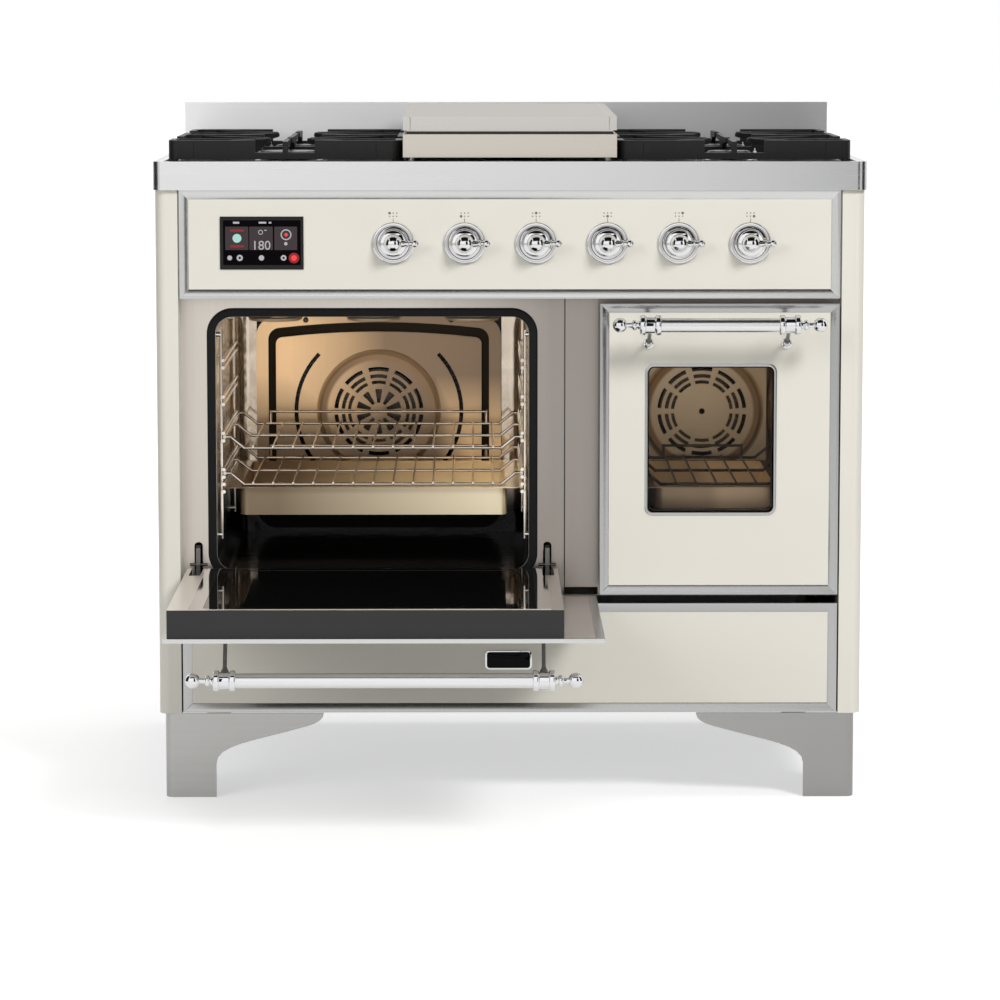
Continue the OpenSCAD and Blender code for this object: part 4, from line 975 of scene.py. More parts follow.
@dataclass
class Studio:
    """Camera, floor, lamps and background.

    A lamp has its place, side, power in watts and the height that it aims at; a card its place, width,
    height and grey.
    """

    camera_at: Point = (-0.0539, -5.8311, 1.1152)
    camera_down: float = 6.893
    camera_right: float = 0.40
    lens: float = 146.67
    sensor: float = 36.0
    sight: float = 200.0
    floor_half: float = 40.0
    ambient: float = 0.32
    floor_lift: float = 0.50
    lift_from: float = 0.9
    lift_to: float = 2.3
    mirrored_lift: float = 0.42
    floor_seen: float = 0.68
    floor_unseen: float = 0.40
    warm: Colour = (1.0, 0.76, 0.50)
    oven_lamp_depth: float = 0.12
    oven_lamp_inset: float = 0.16
    oven_lamp_drop: float = 0.03
    oven_lamp_share: float = 0.7
    oven_aim: float = 0.42
    card_aim: Span = (0.0, -0.2)
    card_top: float = 1.7
    oven_power: tuple[tuple[str, float], ...] = (("left", 1.35), ("right", 0.7))
    lamps: tuple[tuple[str, Point, float, float, float], ...] = (
        ("key", (3.0, -4.4, 4.6), 1.7, 262.0, 0.5),
        ("fill", (-3.2, -3.6, 2.4), 2.6, 66.0, 0.5),
        ("top", (0.0, 0.4, 3.6), 2.4, 60.0, 0.8),
    )
    cards: tuple[tuple[str, Point, float, float, float], ...] = (
        ("front_right", (1.95, -3.9, 1.7), 2.0, 3.3, 0.02),
        ("right", (2.9, -0.55, 1.7), 2.0, 3.3, 0.01),
        ("left", (-2.8, -0.1, 1.7), 3.0, 3.3, 0.02),
        ("above", (0.0, -1.2, 3.6), 5.0, 3.4, 0.02),
    )

    def camera(self) -> None:
        """Stand the camera where the photograph was taken from."""
        data = bpy.data.cameras.new("camera")
        data.lens = self.lens
        data.sensor_width = self.sensor
        data.clip_end = self.sight
        camera = show("camera", data)
        camera.location = self.camera_at
        camera.rotation_euler = (math.radians(90 - self.camera_down), 0.0, -math.radians(self.camera_right))
        bpy.context.scene.camera = camera

    def aim(self, at: Point, target: Point) -> Quaternion:
        """Turn of a lamp or a card at a place towards a target."""
        return (Vector(target) - Vector(at)).to_track_quat("-Z", "Y")

    def lamp(self, name: str, at: Point, target: Point, size: Span, power: float) -> bpy.types.Object:
        """Hang a soft lamp that metal and glass don't mirror.

        Args:
            name: Name of the lamp.
            at: Its place.
            target: Point that it faces.
            size: Width and height.
            power: Power in watts.

        Returns:
            The lamp.
        """
        data = bpy.data.lights.new(name, "AREA")
        data.shape = "RECTANGLE"
        data.size, data.size_y = size
        data.energy = power
        lamp = show(name, data)
        lamp.location = at
        lamp.rotation_euler = self.aim(at, target).to_euler()
        lamp.visible_glossy = False
        return lamp

    def oven_light(self, side: str, power: float) -> None:
        """Light an oven softly from under the front of its roof.

        Args:
            side: left or right.
            power: Power in watts.
        """
        low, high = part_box(side + "_oven")
        x = (low.x + high.x) / 2
        at = (x, low.y + self.oven_lamp_inset, high.z - self.oven_lamp_drop)
        size = (self.oven_lamp_share * (high.x - low.x), self.oven_lamp_depth)
        lamp = self.lamp(side + "_oven_light", at, (x, high.y, low.z + self.oven_aim * (high.z - low.z)), size, power)
        lamp.data.color = self.warm
        lamp.visible_camera = False

    def quad(self, name: str, width: float, height: float, place: Matrix) -> bpy.types.Mesh:
        """Make a flat rectangle about a place.

        Args:
            name: Name of the mesh.
            width: Width.
            height: Height.
            place: Matrix of its middle.

        Returns:
            The mesh.
        """
        data = bpy.data.meshes.new(name)
        corners = square((-width / 2, width / 2, -height / 2, height / 2))
        data.from_pydata([place @ Vector((x, y, 0.0)) for x, y in corners], [], [(0, 1, 2, 3)])
        return data

    def card(self, name: str, at: Point, width: float, height: float, shade: float) -> None:
        """Stand a dark card that only metal and glass see.

        Args:
            name: Name of the card.
            at: Its middle.
            width: Width.
            height: Height.
            shade: Grey of the card.
        """
        turn = self.aim(at, (*self.card_aim, min(at[2], self.card_top)))
        data = self.quad(name, width, height, Matrix.Translation(at) @ turn.to_matrix().to_4x4())
        data.materials.append(Finish("card_" + name, (shade, shade, shade), roughness=0.9, specular=0.0).material())
        card = show(name, data)
        card.visible_camera = False
        card.visible_diffuse = False
        card.visible_shadow = False

    def floor(self) -> None:
        """Lay the pale floor, which shows white where it is lit and keeps the shadow."""
        data = self.quad("floor", 2 * self.floor_half, 2 * self.floor_half, Matrix.Identity(4))
        data.materials.append(bpy.data.materials.new("floor_white"))
        graph = Graph(data.materials[0])
        graph.tree.nodes.remove(graph.shader)
        ray = graph.node("ShaderNodeLightPath").outputs
        away = graph.node("ShaderNodeVectorMath", operation="LENGTH")
        graph.link(graph.place.outputs["Object"], away.inputs[0])
        rise = graph.spread(away.outputs["Value"], self.lift_from, self.lift_to, (self.floor_lift, 1.0))
        mirrored = graph.math("MULTIPLY", ray["Is Glossy Ray"], self.mirrored_lift)
        diffuse = graph.node("ShaderNodeBsdfDiffuse")
        emission = graph.node("ShaderNodeEmission")
        both = graph.node("ShaderNodeAddShader")
        graph.link(graph.spread(ray["Is Camera Ray"], 0.0, 1.0, (self.floor_unseen, self.floor_seen)),
                   diffuse.inputs["Color"])
        graph.link(graph.math("MULTIPLY_ADD", ray["Is Camera Ray"], rise, mirrored), emission.inputs["Strength"])
        graph.link(diffuse.outputs[0], both.inputs[0])
        graph.link(emission.outputs[0], both.inputs[1])
        graph.link(both.outputs[0], graph.tree.nodes["Material Output"].inputs["Surface"])
        show("floor", data)

    def world(self) -> None:
        """Fill the studio with even light, and show white behind the cooker."""
        bpy.context.scene.world = bpy.data.worlds.new("studio")
        graph = Graph(bpy.context.scene.world)
        ray = graph.node("ShaderNodeLightPath").outputs
        seen = ray["Is Camera Ray"]
        for other in ("Is Glossy Ray", "Is Transmission Ray"):
            seen = graph.math("MAXIMUM", seen, ray[other])
        shown = graph.tree.nodes["Background"].inputs
        graph.link(graph.spread(seen, 0.0, 1.0, (self.ambient, 1.0)), shown["Strength"])
        graph.link((1.0, 1.0, 1.0), shown["Color"])

    def build(self) -> None:
        """Set up the whole studio."""
        self.world()
        self.floor()
        for name, at, side, power, height in self.lamps:
            self.lamp(name, at, (0.0, 0.0, height), (side, side), power)
        for card in self.cards:
            self.card(*card)
        for side, power in self.oven_power:
            self.oven_light(side, power)
        bpy.context.scene.view_settings.view_transform = "Standard"


@dataclass
class Controls:
    """Knobs, skirts, display graphics and panel print.

    A dial of the display has its middle, radius, hole and finish; a dash its sides and finish; a pane its
    left and right side.
    """

    ring_r: float = 0.0185
    dome_r: float = 0.0125
    lever: float = 0.029
    lever_up: float = 0.011
    skirt_r: float = 0.029
    bore: float = 0.0041
    film: float = 0.0001
    dials: tuple[tuple[float, float, float, float, Finish], ...] = (
        (-0.0346, 0.0066, 0.0062, 0.0, SCREEN_TEAL), (0.0341, 0.0116, 0.0076, 0.0060, SCREEN_PALE),
        (0.0341, 0.0116, 0.0024, 0.0, SCREEN_RED), (0.0337, -0.0010, 0.0024, 0.0, SCREEN_PALE),
        (-0.0449, -0.0208, 0.0034, 0.0, SCREEN_PALE), (-0.0309, -0.0208, 0.0044, 0.0018, SCREEN_PALE),
        (-0.0005, -0.0208, 0.0038, 0.0, SCREEN_PALE), (0.0305, -0.0208, 0.0040, 0.0016, SCREEN_PALE),
        (0.0450, -0.0210, 0.0074, 0.0040, SCREEN_DEEP_RED), (0.0450, -0.0210, 0.0040, 0.0, SCREEN_RED),
        (-0.0015, 0.0150, 0.0034, 0.0024, SCREEN_PALE),
    )
    dashes: tuple[tuple[float, float, float, float, Finish], ...] = (
        (-0.0400, -0.0312, 0.0270, 0.0298, SCREEN_PALE), (-0.0040, 0.0064, 0.0272, 0.0298, SCREEN_PALE),
        (0.0100, 0.0136, 0.0272, 0.0296, SCREEN_PALE), (-0.0440, -0.0250, 0.0160, 0.0190, SCREEN_DEEP_RED),
        (-0.0440, -0.0250, -0.0060, -0.0030, SCREEN_DEEP_RED), (0.0036, 0.0070, 0.0172, 0.0184, SCREEN_PALE),
    )
    outer: Sides = (-0.0585, 0.0585, -0.0370, 0.0370)
    inner: Sides = (-0.0540, 0.0545, -0.0310, 0.0318)
    outer_r: float = 0.0015
    inner_r: float = 0.0010
    pane_rows: Span = (-0.0098, 0.0229)
    panes: tuple[Span, ...] = ((-0.0510, -0.0187), (-0.0173, 0.0155), (0.0177, 0.0496))
    glass: float = 0.0003
    rim: float = 0.0007
    pointer: Sides = (-0.0004, 0.0004, 0.0292, 0.0342)
    spot_pitch: Span = (0.0050, 0.0045)
    spots_up: float = 0.0372
    spot_r: float = 0.0009
    own_spot_r: float = 0.0019
    figures: str = "180"
    figures_high: float = 0.0178
    figures_at: Point = (-0.0007, -0.0092, 0.0)

    def stem(self, index: int) -> Vector:
        """Middle of a valve stem."""
        return centre(f"valve_stem_{index}")

    def skirts(self) -> None:
        """Turn the six chrome skirts."""
        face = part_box("knob_bezels")[1].y
        r = self.skirt_r
        profile = [(self.bore + 0.002, 0.0), (r - 0.0012, 0.0), *arc(r - 0.0018, 0.0027, 0.0018, -50, 90, 7),
                   (r - 0.0052, 0.0043), *arc(r - 0.0068, 0.0046, 0.0016, 0, -90, 5), (r - 0.0087, 0.0026),
                   (self.bore + 0.002, 0.0026), (self.bore + 0.002, 0.0)]
        draft = Draft()
        for index in KNOBS:
            stem = self.stem(index)
            draft.lathe(profile, CHROME, facing_front(stem.x, face, stem.z), Smooth.FINE)
        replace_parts(draft.piece("knob_skirts", "body", "chrome"), "knob_bezels")

    def knobs(self) -> None:
        """Turn each knob with its lever."""
        r, d = self.ring_r, self.dome_r
        profile = [(0.0, 0.0), (r - 0.0015, 0.0), *arc(r - 0.0015, 0.0015, 0.0015, -90, 0, 4),
                   *arc(r - 0.0022, 0.0062, 0.0022, 0, 80, 5), (d + 0.0035, 0.0088),
                   *arc(d + 0.0012, 0.0105, 0.0012, 250, 180, 4), (d, 0.0145),
                   *arc(0.0, 0.0115, d, 14, 90, 12)]
        profile[-1] = (0.0, profile[-1][1])
        lever = [(0.0, 0.0), (0.0056, 0.0), (0.0052, 0.014), (0.0038, 0.019),
                 *arc(0.0038, 0.0205, 0.0014, -90, 90, 5), (0.0032, 0.0225),
                 *arc(0.0, self.lever + 0.0015, 0.0056, -58, 90, 10)]
        lever[-1] = (0.0, lever[-1][1])
        for index in KNOBS:
            stem = self.stem(index)
            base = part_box(f"knob_{index}")[1].y
            front = facing_front(stem.x, base, stem.z)
            sideways = front @ Matrix.Translation((0.0, 0.0, self.lever_up)) @ Matrix.Rotation(math.pi / 2, 4, "Y")
            draft = Draft().lathe(profile, CHROME, front, Smooth.FINE).lathe(lever, CHROME, sideways, Smooth.LEVER)
            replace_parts(draft.piece(f"knob_{index}_chrome", f"knob_{index}", "chrome"), f"knob_{index}")

    def print_marks(self) -> None:
        """Print a pointer line and a small plan of the burners above each knob."""
        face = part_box("control_panel")[0].y
        draft = Draft()
        for index in KNOBS:
            stem = self.stem(index)
            at = facing_front(stem.x, face, stem.z)
            draft.plate(square(self.pointer), self.film, PRINT, at)
            for spot in range(6):
                x = (spot % 3 - 1) * self.spot_pitch[0]
                y = self.spots_up + (spot // 3) * self.spot_pitch[1]
                own = spot == (index - 1) // 2 + 3 * (index % 2)
                draft.plate(disc(x, y, self.own_spot_r if own else self.spot_r), self.film, PRINT, at)
        draft.piece("panel_print", "body", "black_seal")

    def display(self) -> None:
        """Light the generic shapes and plain numbers of the touch display."""
        middle = centre("touch_display")
        at = facing_front(middle.x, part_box("touch_display")[0].y, middle.z)
        outer = rounded(self.outer, self.outer_r, 2)
        inner = rounded(self.inner, self.inner_r, 2)
        draft = Draft().plate(inner, self.glass, SCREEN, at).frame(outer, inner, self.rim, SCREEN_FRAME, at)
        up = at @ Matrix.Translation((0.0, 0.0, self.glass))
        top = up @ Matrix.Translation((0.0, 0.0, self.film))
        for pane in self.panes:
            draft.plate(rounded((*pane, *self.pane_rows), self.inner_r, 3), self.film, SCREEN_PANE, up)
        for cx, cy, r, hole, finish in self.dials:
            if hole:
                draft.frame(disc(cx, cy, r), disc(cx, cy, hole), self.film, finish, top)
            else:
                draft.plate(disc(cx, cy, r), self.film, finish, top)
        for *sides, finish in self.dashes:
            draft.plate(square(sides), self.film, finish, top)
        draft.piece("display_graphics", "body", "display_glass", crease=30.0)
        self.number(top @ Matrix.Translation(self.figures_at))

    def number(self, at: Matrix) -> None:
        """Write a plain number on the display.

        Args:
            at: Place of its lower middle.
        """
        curve = bpy.data.curves.new("display_number", "FONT")
        curve.body = self.figures
        curve.size = self.figures_high
        curve.align_x = "CENTER"
        curve.extrude = self.film / 2
        written = bpy.data.objects.new("display_number", curve)
        data = bpy.data.meshes.new_from_object(written)
        data.transform(at)
        data.materials.append(SCREEN_PALE.material())
        enlist(bpy.data.objects.new("display_number_mesh", data), "body")
        bpy.data.objects.remove(written)

    def build(self) -> None:
        """Build every piece of the controls."""
        self.skirts()
        self.knobs()
        self.print_marks()
        self.display()


@dataclass
class Door:
    """Fine pieces of one oven door, built shut and swung open where the door stands open."""

    side: str
    span: float
    swung: bool
    shift: float = 0.0
    bar_r: float = 0.0098
    bar_out: float = 0.058
    bar_down: float = 0.0262
    post_drop: float = 0.030
    collar_half: float = 0.0148
    collar_r: float = 0.014
    liner_w: float = 0.019
    liner_top: float = 0.006
    liner_r: float = 0.006
    liner_lap: float = 0.003
    strip_lap: float = 0.002
    strip_r: float = 0.0005
    sheet: float = 0.00035
    window_w: float = 0.420
    window_h: float = 0.2105
    window_up: float = 0.1145
    window_shift: float = 0.0
    bead_half: float = 0.0020
    bead_corners: Span = (0.0115, 0.0085)
    bead_sunk: float = 0.0015
    bead_thick: float = 0.0027
    bead_bevel: float = 0.0007
    hinge_w: float = 0.0232
    hinge_h: float = 0.0735

    def place(self) -> Matrix:
        """Matrix from the shut door to where it stands.

        Returns:
            The matrix.
        """
        if not self.swung:
            return Matrix.Identity(4)
        joint = next(j for j in frame["joints"] if j["name"] == f"{self.side}_door_hinge")
        pivot = Matrix.Translation(Vector(joint["pos_m"]))
        return pivot @ Matrix.Rotation(math.pi / 2, 4, "X") @ pivot.inverted()

    def shut_box(self, node: str) -> tuple[Vector, Vector]:
        """Box of a node of the door with the door shut.

        Args:
            node: Last part of the node's name.

        Returns:
            Lowest and highest corner.
        """
        back = self.place().inverted()
        low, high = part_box(f"{self.side}_door_{node}")
        corners = [back @ low, back @ high]
        return (Vector(min(c[i] for c in corners) for i in range(3)),
                Vector(max(c[i] for c in corners) for i in range(3)))

    def handle(self) -> None:
        """Turn the handle: a satin bar between chrome collars, beaded necks and balls."""
        face = self.shut_box("panel")[0].y
        trim = self.shut_box("trim")
        x = (trim[0].x + trim[1].x) / 2 + self.shift
        y = face - self.bar_out
        z = trim[1].z - self.bar_down
        span, r = self.span, self.bar_r
        bar = [(0.0, -span / 2), (r, -span / 2), (r, span / 2), (0.0, span / 2)]
        along = Matrix.Rotation(math.pi / 2, 4, "Y")
        draft = Draft().lathe(bar, SATIN, Matrix.Translation((x, y, z)) @ along, Smooth.BAR)
        half, collar = self.collar_half, self.collar_r
        fitting = [(0.0, -half), (r + 0.001, -half), *arc(collar - 0.002, -half + 0.002, 0.002, -90, 0, 3),
                   *arc(collar - 0.002, -half + 0.006, 0.002, 0, 90, 3), (collar - 0.003, -half + 0.009),
                   (collar - 0.0025, half - 0.009), *arc(collar - 0.002, half - 0.006, 0.002, -90, 0, 3),
                   *arc(collar - 0.002, half - 0.002, 0.002, 0, 90, 3), (0.0065, half + 0.001),
                   (0.0042, half + 0.0040), *arc(0.0042, half + 0.0075, 0.0033, -90, 90, 8),
                   (0.0036, half + 0.0120), (0.0036, half + 0.0185),
                   *arc(0.0, half + 0.0275, 0.0102, -62, 90, 14)]
        fitting[-1] = (0.0, fitting[-1][1])
        reach = math.hypot(self.bar_out, self.post_drop)
        tilt = math.atan2(self.post_drop, self.bar_out)
        post = [(0.0, 0.0), (0.0055, 0.0), (0.0055, 0.0135), (0.0036, 0.0165), (0.0028, 0.020),
                (0.0028, reach - 0.012), *arc(0.0030, reach - 0.0095, 0.0014, -90, 60, 5), (0.0030, reach),
                (0.0, reach)]
        foot = [(0.0, 0.0), (0.0075, 0.0), *arc(0.0065, 0.0014, 0.0010, 0, 90, 3), (0.0048, 0.0034),
                (0.0036, 0.0060), (0.0, 0.0060)]
        for sign in (-1, 1):
            end = Matrix.Translation((x + sign * span / 2, y, z))
            draft.lathe(fitting, CHROME, end @ Matrix.Rotation(sign * math.pi / 2, 4, "Y"), Smooth.BAR)
            # The posts' darkened chrome is a painted shade.
            draft.lathe(post, POST, end @ Matrix.Rotation(-math.pi / 2 - tilt, 4, "X"), Smooth.POST)
            base = facing_front(x + sign * span / 2, face, z - self.post_drop)
            draft.lathe(foot, CHROME, base, Smooth.POST)
        piece = draft.piece(f"{self.side}_handle", f"{self.side}_door", "chrome", place=self.place())
        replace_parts(piece, f"{self.side}_door_handle")

    def bead(self) -> None:
        """Frame the window with a thin rounded bead."""
        low, high = self.shut_box("trim")
        x, z, w = (low.x + high.x) / 2 - self.window_shift, low.z + self.window_up, self.bead_half
        window = (x - self.window_w / 2, x + self.window_w / 2, z, z + self.window_h)
        outer, inner = [rounded(window, r, grown=grown) for r, grown in zip(self.bead_corners, (w, -w))]
        at = facing_front(0.0, self.shut_box("panel")[0].y + self.bead_sunk, 0.0)
        draft = Draft().frame(outer, inner, self.bead_thick, STEEL_TRIM, at)
        draft.piece(f"{self.side}_window_bead", f"{self.side}_door", "chrome", bevel=self.bead_bevel,
                    place=self.place())

    def liner(self) -> None:
        """Lay the steel sheet round the inner glass, notched beside the hinges, and the dark strip at its foot."""
        core, glass = self.shut_box("core"), self.shut_box("glass")
        x0, x1, z1 = glass[0].x - self.liner_lap, glass[1].x + self.liner_lap, glass[1].z + self.liner_lap
        z0, side, r = core[0].z + self.liner_lap, self.liner_w, self.liner_r
        bend = z1 - self.liner_top - r
        left, right = max(x0, core[0].x + self.hinge_w), min(x1, core[1].x - self.hinge_w)
        notch = core[0].z + self.hinge_h
        outline = [(left, z0), (x0 + side, z0), *arc(x0 + side + r, bend, r, 180, 90, 5),
                   *arc(x1 - side - r, bend, r, 90, 0, 5), (x1 - side, z0), (right, z0),
                   (right, notch), (x1, notch), (x1, z1), (x0, z1), (x0, notch), (left, notch)]
        inside = facing_front(0.0, core[1].y + self.sheet, 0.0)
        draft = Draft().plate(outline, self.sheet, STEEL_LINER, inside)
        strip = rounded((x0 + side, x1 - side, z0, glass[0].z + self.strip_lap), self.strip_r, 1)
        draft.plate(strip, self.sheet, DOOR_GLASS, inside)
        draft.piece(f"{self.side}_door_liner", f"{self.side}_door", "stainless", place=self.place())

    def build(self) -> None:
        """Build every fine piece of the door."""
        self.handle()
        self.liner()
        self.bead()


class Repeater:
    """Geometry Nodes tree that sets copies of one shape along a line."""

    def __init__(self) -> None:
        """Build the tree with its named inputs."""
        self.tree = bpy.data.node_groups.new("copies_along_a_line", "GeometryNodeTree")
        self.sockets: dict[str, str] = {}
        face = self.tree.interface
        face.new_socket("Geometry", in_out="OUTPUT", socket_type="NodeSocketGeometry")
        for name, kind in (("Shape", "NodeSocketObject"), ("Count", "NodeSocketInt"), ("Start", "NodeSocketVector"),
                           ("Step", "NodeSocketVector"), ("Finish", "NodeSocketMaterial")):
            self.sockets[name] = face.new_socket(name, in_out="INPUT", socket_type=kind).identifier
        kinds = {"given": "NodeGroupInput", "line": "GeometryNodeMeshLine", "shape": "GeometryNodeObjectInfo",
                 "copies": "GeometryNodeInstanceOnPoints", "solid": "GeometryNodeRealizeInstances",
                 "dress": "GeometryNodeSetMaterial", "out": "NodeGroupOutput"}
        made = {key: self.tree.nodes.new(kind) for key, kind in kinds.items()}
        for source, given, target, taken in (
                ("given", "Count", "line", "Count"), ("given", "Start", "line", "Start Location"),
                ("given", "Step", "line", "Offset"), ("given", "Shape", "shape", "Object"),
                ("line", "Mesh", "copies", "Points"), ("shape", "Geometry", "copies", "Instance"),
                ("copies", "Instances", "solid", "Geometry"), ("solid", "Geometry", "dress", "Geometry"),
                ("given", "Finish", "dress", "Material"), ("dress", "Geometry", "out", "Geometry")):
            self.tree.links.new(made[source].outputs[given], made[target].inputs[taken])

    def line(self, name: str, shape: bpy.types.Object, rows: list[tuple[Point, Point, int]], finish: Finish,
             body: str, slot: str) -> None:
        """Set copies along lines and keep them as one plain mesh.

        Args:
            name: Name of the piece.
            shape: Shape to copy, about its own origin.
            rows: Start, step and count of each line.
            finish: Finish of the copies.
            body: Body that they move with.
            slot: Material slot of the record; not used.
        """
        total = bmesh.new()
        for start, step, count in rows:
            carrier = show("carrier", bpy.data.meshes.new("carrier"))
            modifier = carrier.modifiers.new("copies", "NODES")
            modifier.node_group = self.tree
            for key, value in (("Shape", shape), ("Count", count), ("Start", start), ("Step", step),
                               ("Finish", finish.material())):
                modifier[self.sockets[key]] = value
            total.from_mesh(evaluated_mesh(carrier))
            bpy.data.objects.remove(carrier)
        enlist(settle(total, name, [finish]), body)


def template(profile: Profile, turn: Matrix, sides: int) -> bpy.types.Object:
    """Make a small turned shape about the origin, as a pattern for copies.

    Args:
        profile: Points as radius and height.
        turn: Matrix that turns it into its direction.
        sides: Number of facets.

    Returns:
        The shape, linked to no scene.
    """
    mesh = Draft().lathe(profile, CHROME, turn, sides).mesh
    bmesh.ops.recalc_face_normals(mesh, faces=mesh.faces)
    round_edges(mesh, 0.0, CREASE)
    return settle(mesh, "template", [])


@dataclass
class SmallParts:
    """Screws, weld beads, igniters and the blank plate.

    A step of the blank plate has how far it is grown, its corner radius and its thickness.
    """

    bead_r: float = 0.0024
    wires: int = 13
    wire_pitch: float = 0.0285
    rod_middle: Span = (0.0028, 0.0032)
    screw_r: float = 0.0042
    rear_row: int = 7
    rear_inset: Span = (0.02, 0.012)
    rear_out: float = 0.0015
    baffle_pitch: float = 0.220
    baffle_out: float = 0.0059
    baffle_down: float = 0.0052
    plug: tuple[Span, ...] = ((0.0, 0.0), (0.0032, 0.0), (0.0032, 0.009), (0.0026, 0.0105), (0.0026, 0.013),
                              (0.0007, 0.0133), (0.0007, 0.0175), (0.0, 0.0175))
    plug_up: float = 0.026
    plug_reach: float = 0.052
    burner_half: float = 0.1325
    plate_sides: Sides = (-0.035, 0.031, 0.1836, 0.211)
    plate_steps: tuple[Point, ...] = ((0.0, 0.006, 0.0022), (-0.002, 0.0045, 0.0028))
    plate_bevel: float = 0.0003

    def build(self) -> None:
        """Build every small part."""
        repeater = Repeater()
        self.shelf_beads(repeater)
        self.screws(repeater)
        self.igniters()
        self.blank_plate()

    def shelf_beads(self, repeater: Repeater) -> None:
        """Set a bead where each thin wire crosses the front rod of a shelf.

        Args:
            repeater: Tree that sets the copies.
        """
        r = self.bead_r
        ball = template([(0.0, -r), *arc(0.0, 0.0, r, -60, 60, 6), (0.0, r)], Matrix.Identity(4), Smooth.WELD)
        for shelf in ("upper_shelf", "lower_shelf"):
            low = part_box(shelf)[0]
            x = centre(shelf).x - (self.wires - 1) / 2 * self.wire_pitch
            start = (x, low.y + self.rod_middle[0], low.z + self.rod_middle[1])
            rows = [(start, (self.wire_pitch, 0.0, 0.0), self.wires)]
            repeater.line(shelf + "_beads", ball, rows, WIRE, shelf, "rack_wire")

    def screws(self, repeater: Repeater) -> None:
        """Set the screws of the rear sheet and of the left oven's baffle.

        Args:
            repeater: Tree that sets the copies.
        """
        r = self.screw_r
        head = [(0.0, 0.0), (r, 0.0), (r, 0.0008), *arc(0.0, -0.0012, r + 0.0004, 25, 75, 4), (0.0012, 0.0018),
                (0.0, 0.0018)]
        rear, front = [template(head, Matrix.Rotation(turn, 4, "X"), Smooth.HEAD)
                       for turn in (-math.pi / 2, math.pi / 2)]
        low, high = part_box("back_panel")
        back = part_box("hob_top")[1].y - self.rear_out
        aside, up = self.rear_inset
        step = ((high.x - low.x - 2 * aside) / (self.rear_row - 1), 0.0, 0.0)
        rows = [((low.x + aside, back, z), step, self.rear_row)
                for z in (low.z + up, (low.z + high.z) / 2, high.z - up)]
        repeater.line("rear_screws", rear, rows, ZINC, "body", "galvanised")
        low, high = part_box("fan_baffles")
        x = centre("left_fan").x - self.baffle_pitch / 2
        rows = [((x, low.y + self.baffle_out, high.z - self.baffle_down), (self.baffle_pitch, 0.0, 0.0), 2)]
        repeater.line("oven_screws", front, rows, HINGE, "body", "element_steel")

    def igniters(self) -> None:
        """Stand a ceramic igniter and a flame sensor beside each open burner."""
        draft = Draft()
        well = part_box("burner_bodies")[0].z + self.plug_up
        for side in ("left", "right"):
            middle = centre(f"{side}_grate")
            for away in (-self.burner_half, self.burner_half):
                for turn, finish in ((math.radians(40.0), CERAMIC), (math.radians(140.0), ALLOY)):
                    x = middle.x + self.plug_reach * math.cos(turn)
                    y = middle.y + away + self.plug_reach * math.sin(turn)
                    draft.lathe(list(self.plug), finish, Matrix.Translation((x, y, well)), Smooth.PLUG)
        draft.piece("igniters", "body", "burner_alloy")

    def blank_plate(self) -> None:
        """Fix a bare dark plate with a bright edge to the drawer front."""
        at = facing_front(0.0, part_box("drawer_panel")[0].y, 0.0)
        draft = Draft()
        for (grown, r, thick), finish in zip(self.plate_steps, (CHROME, BLACK_GLASS)):
            draft.plate(rounded(self.plate_sides, r, grown=grown), thick, finish, at)
        draft.piece("blank_plate", "drawer", "display_glass", bevel=self.plate_bevel)


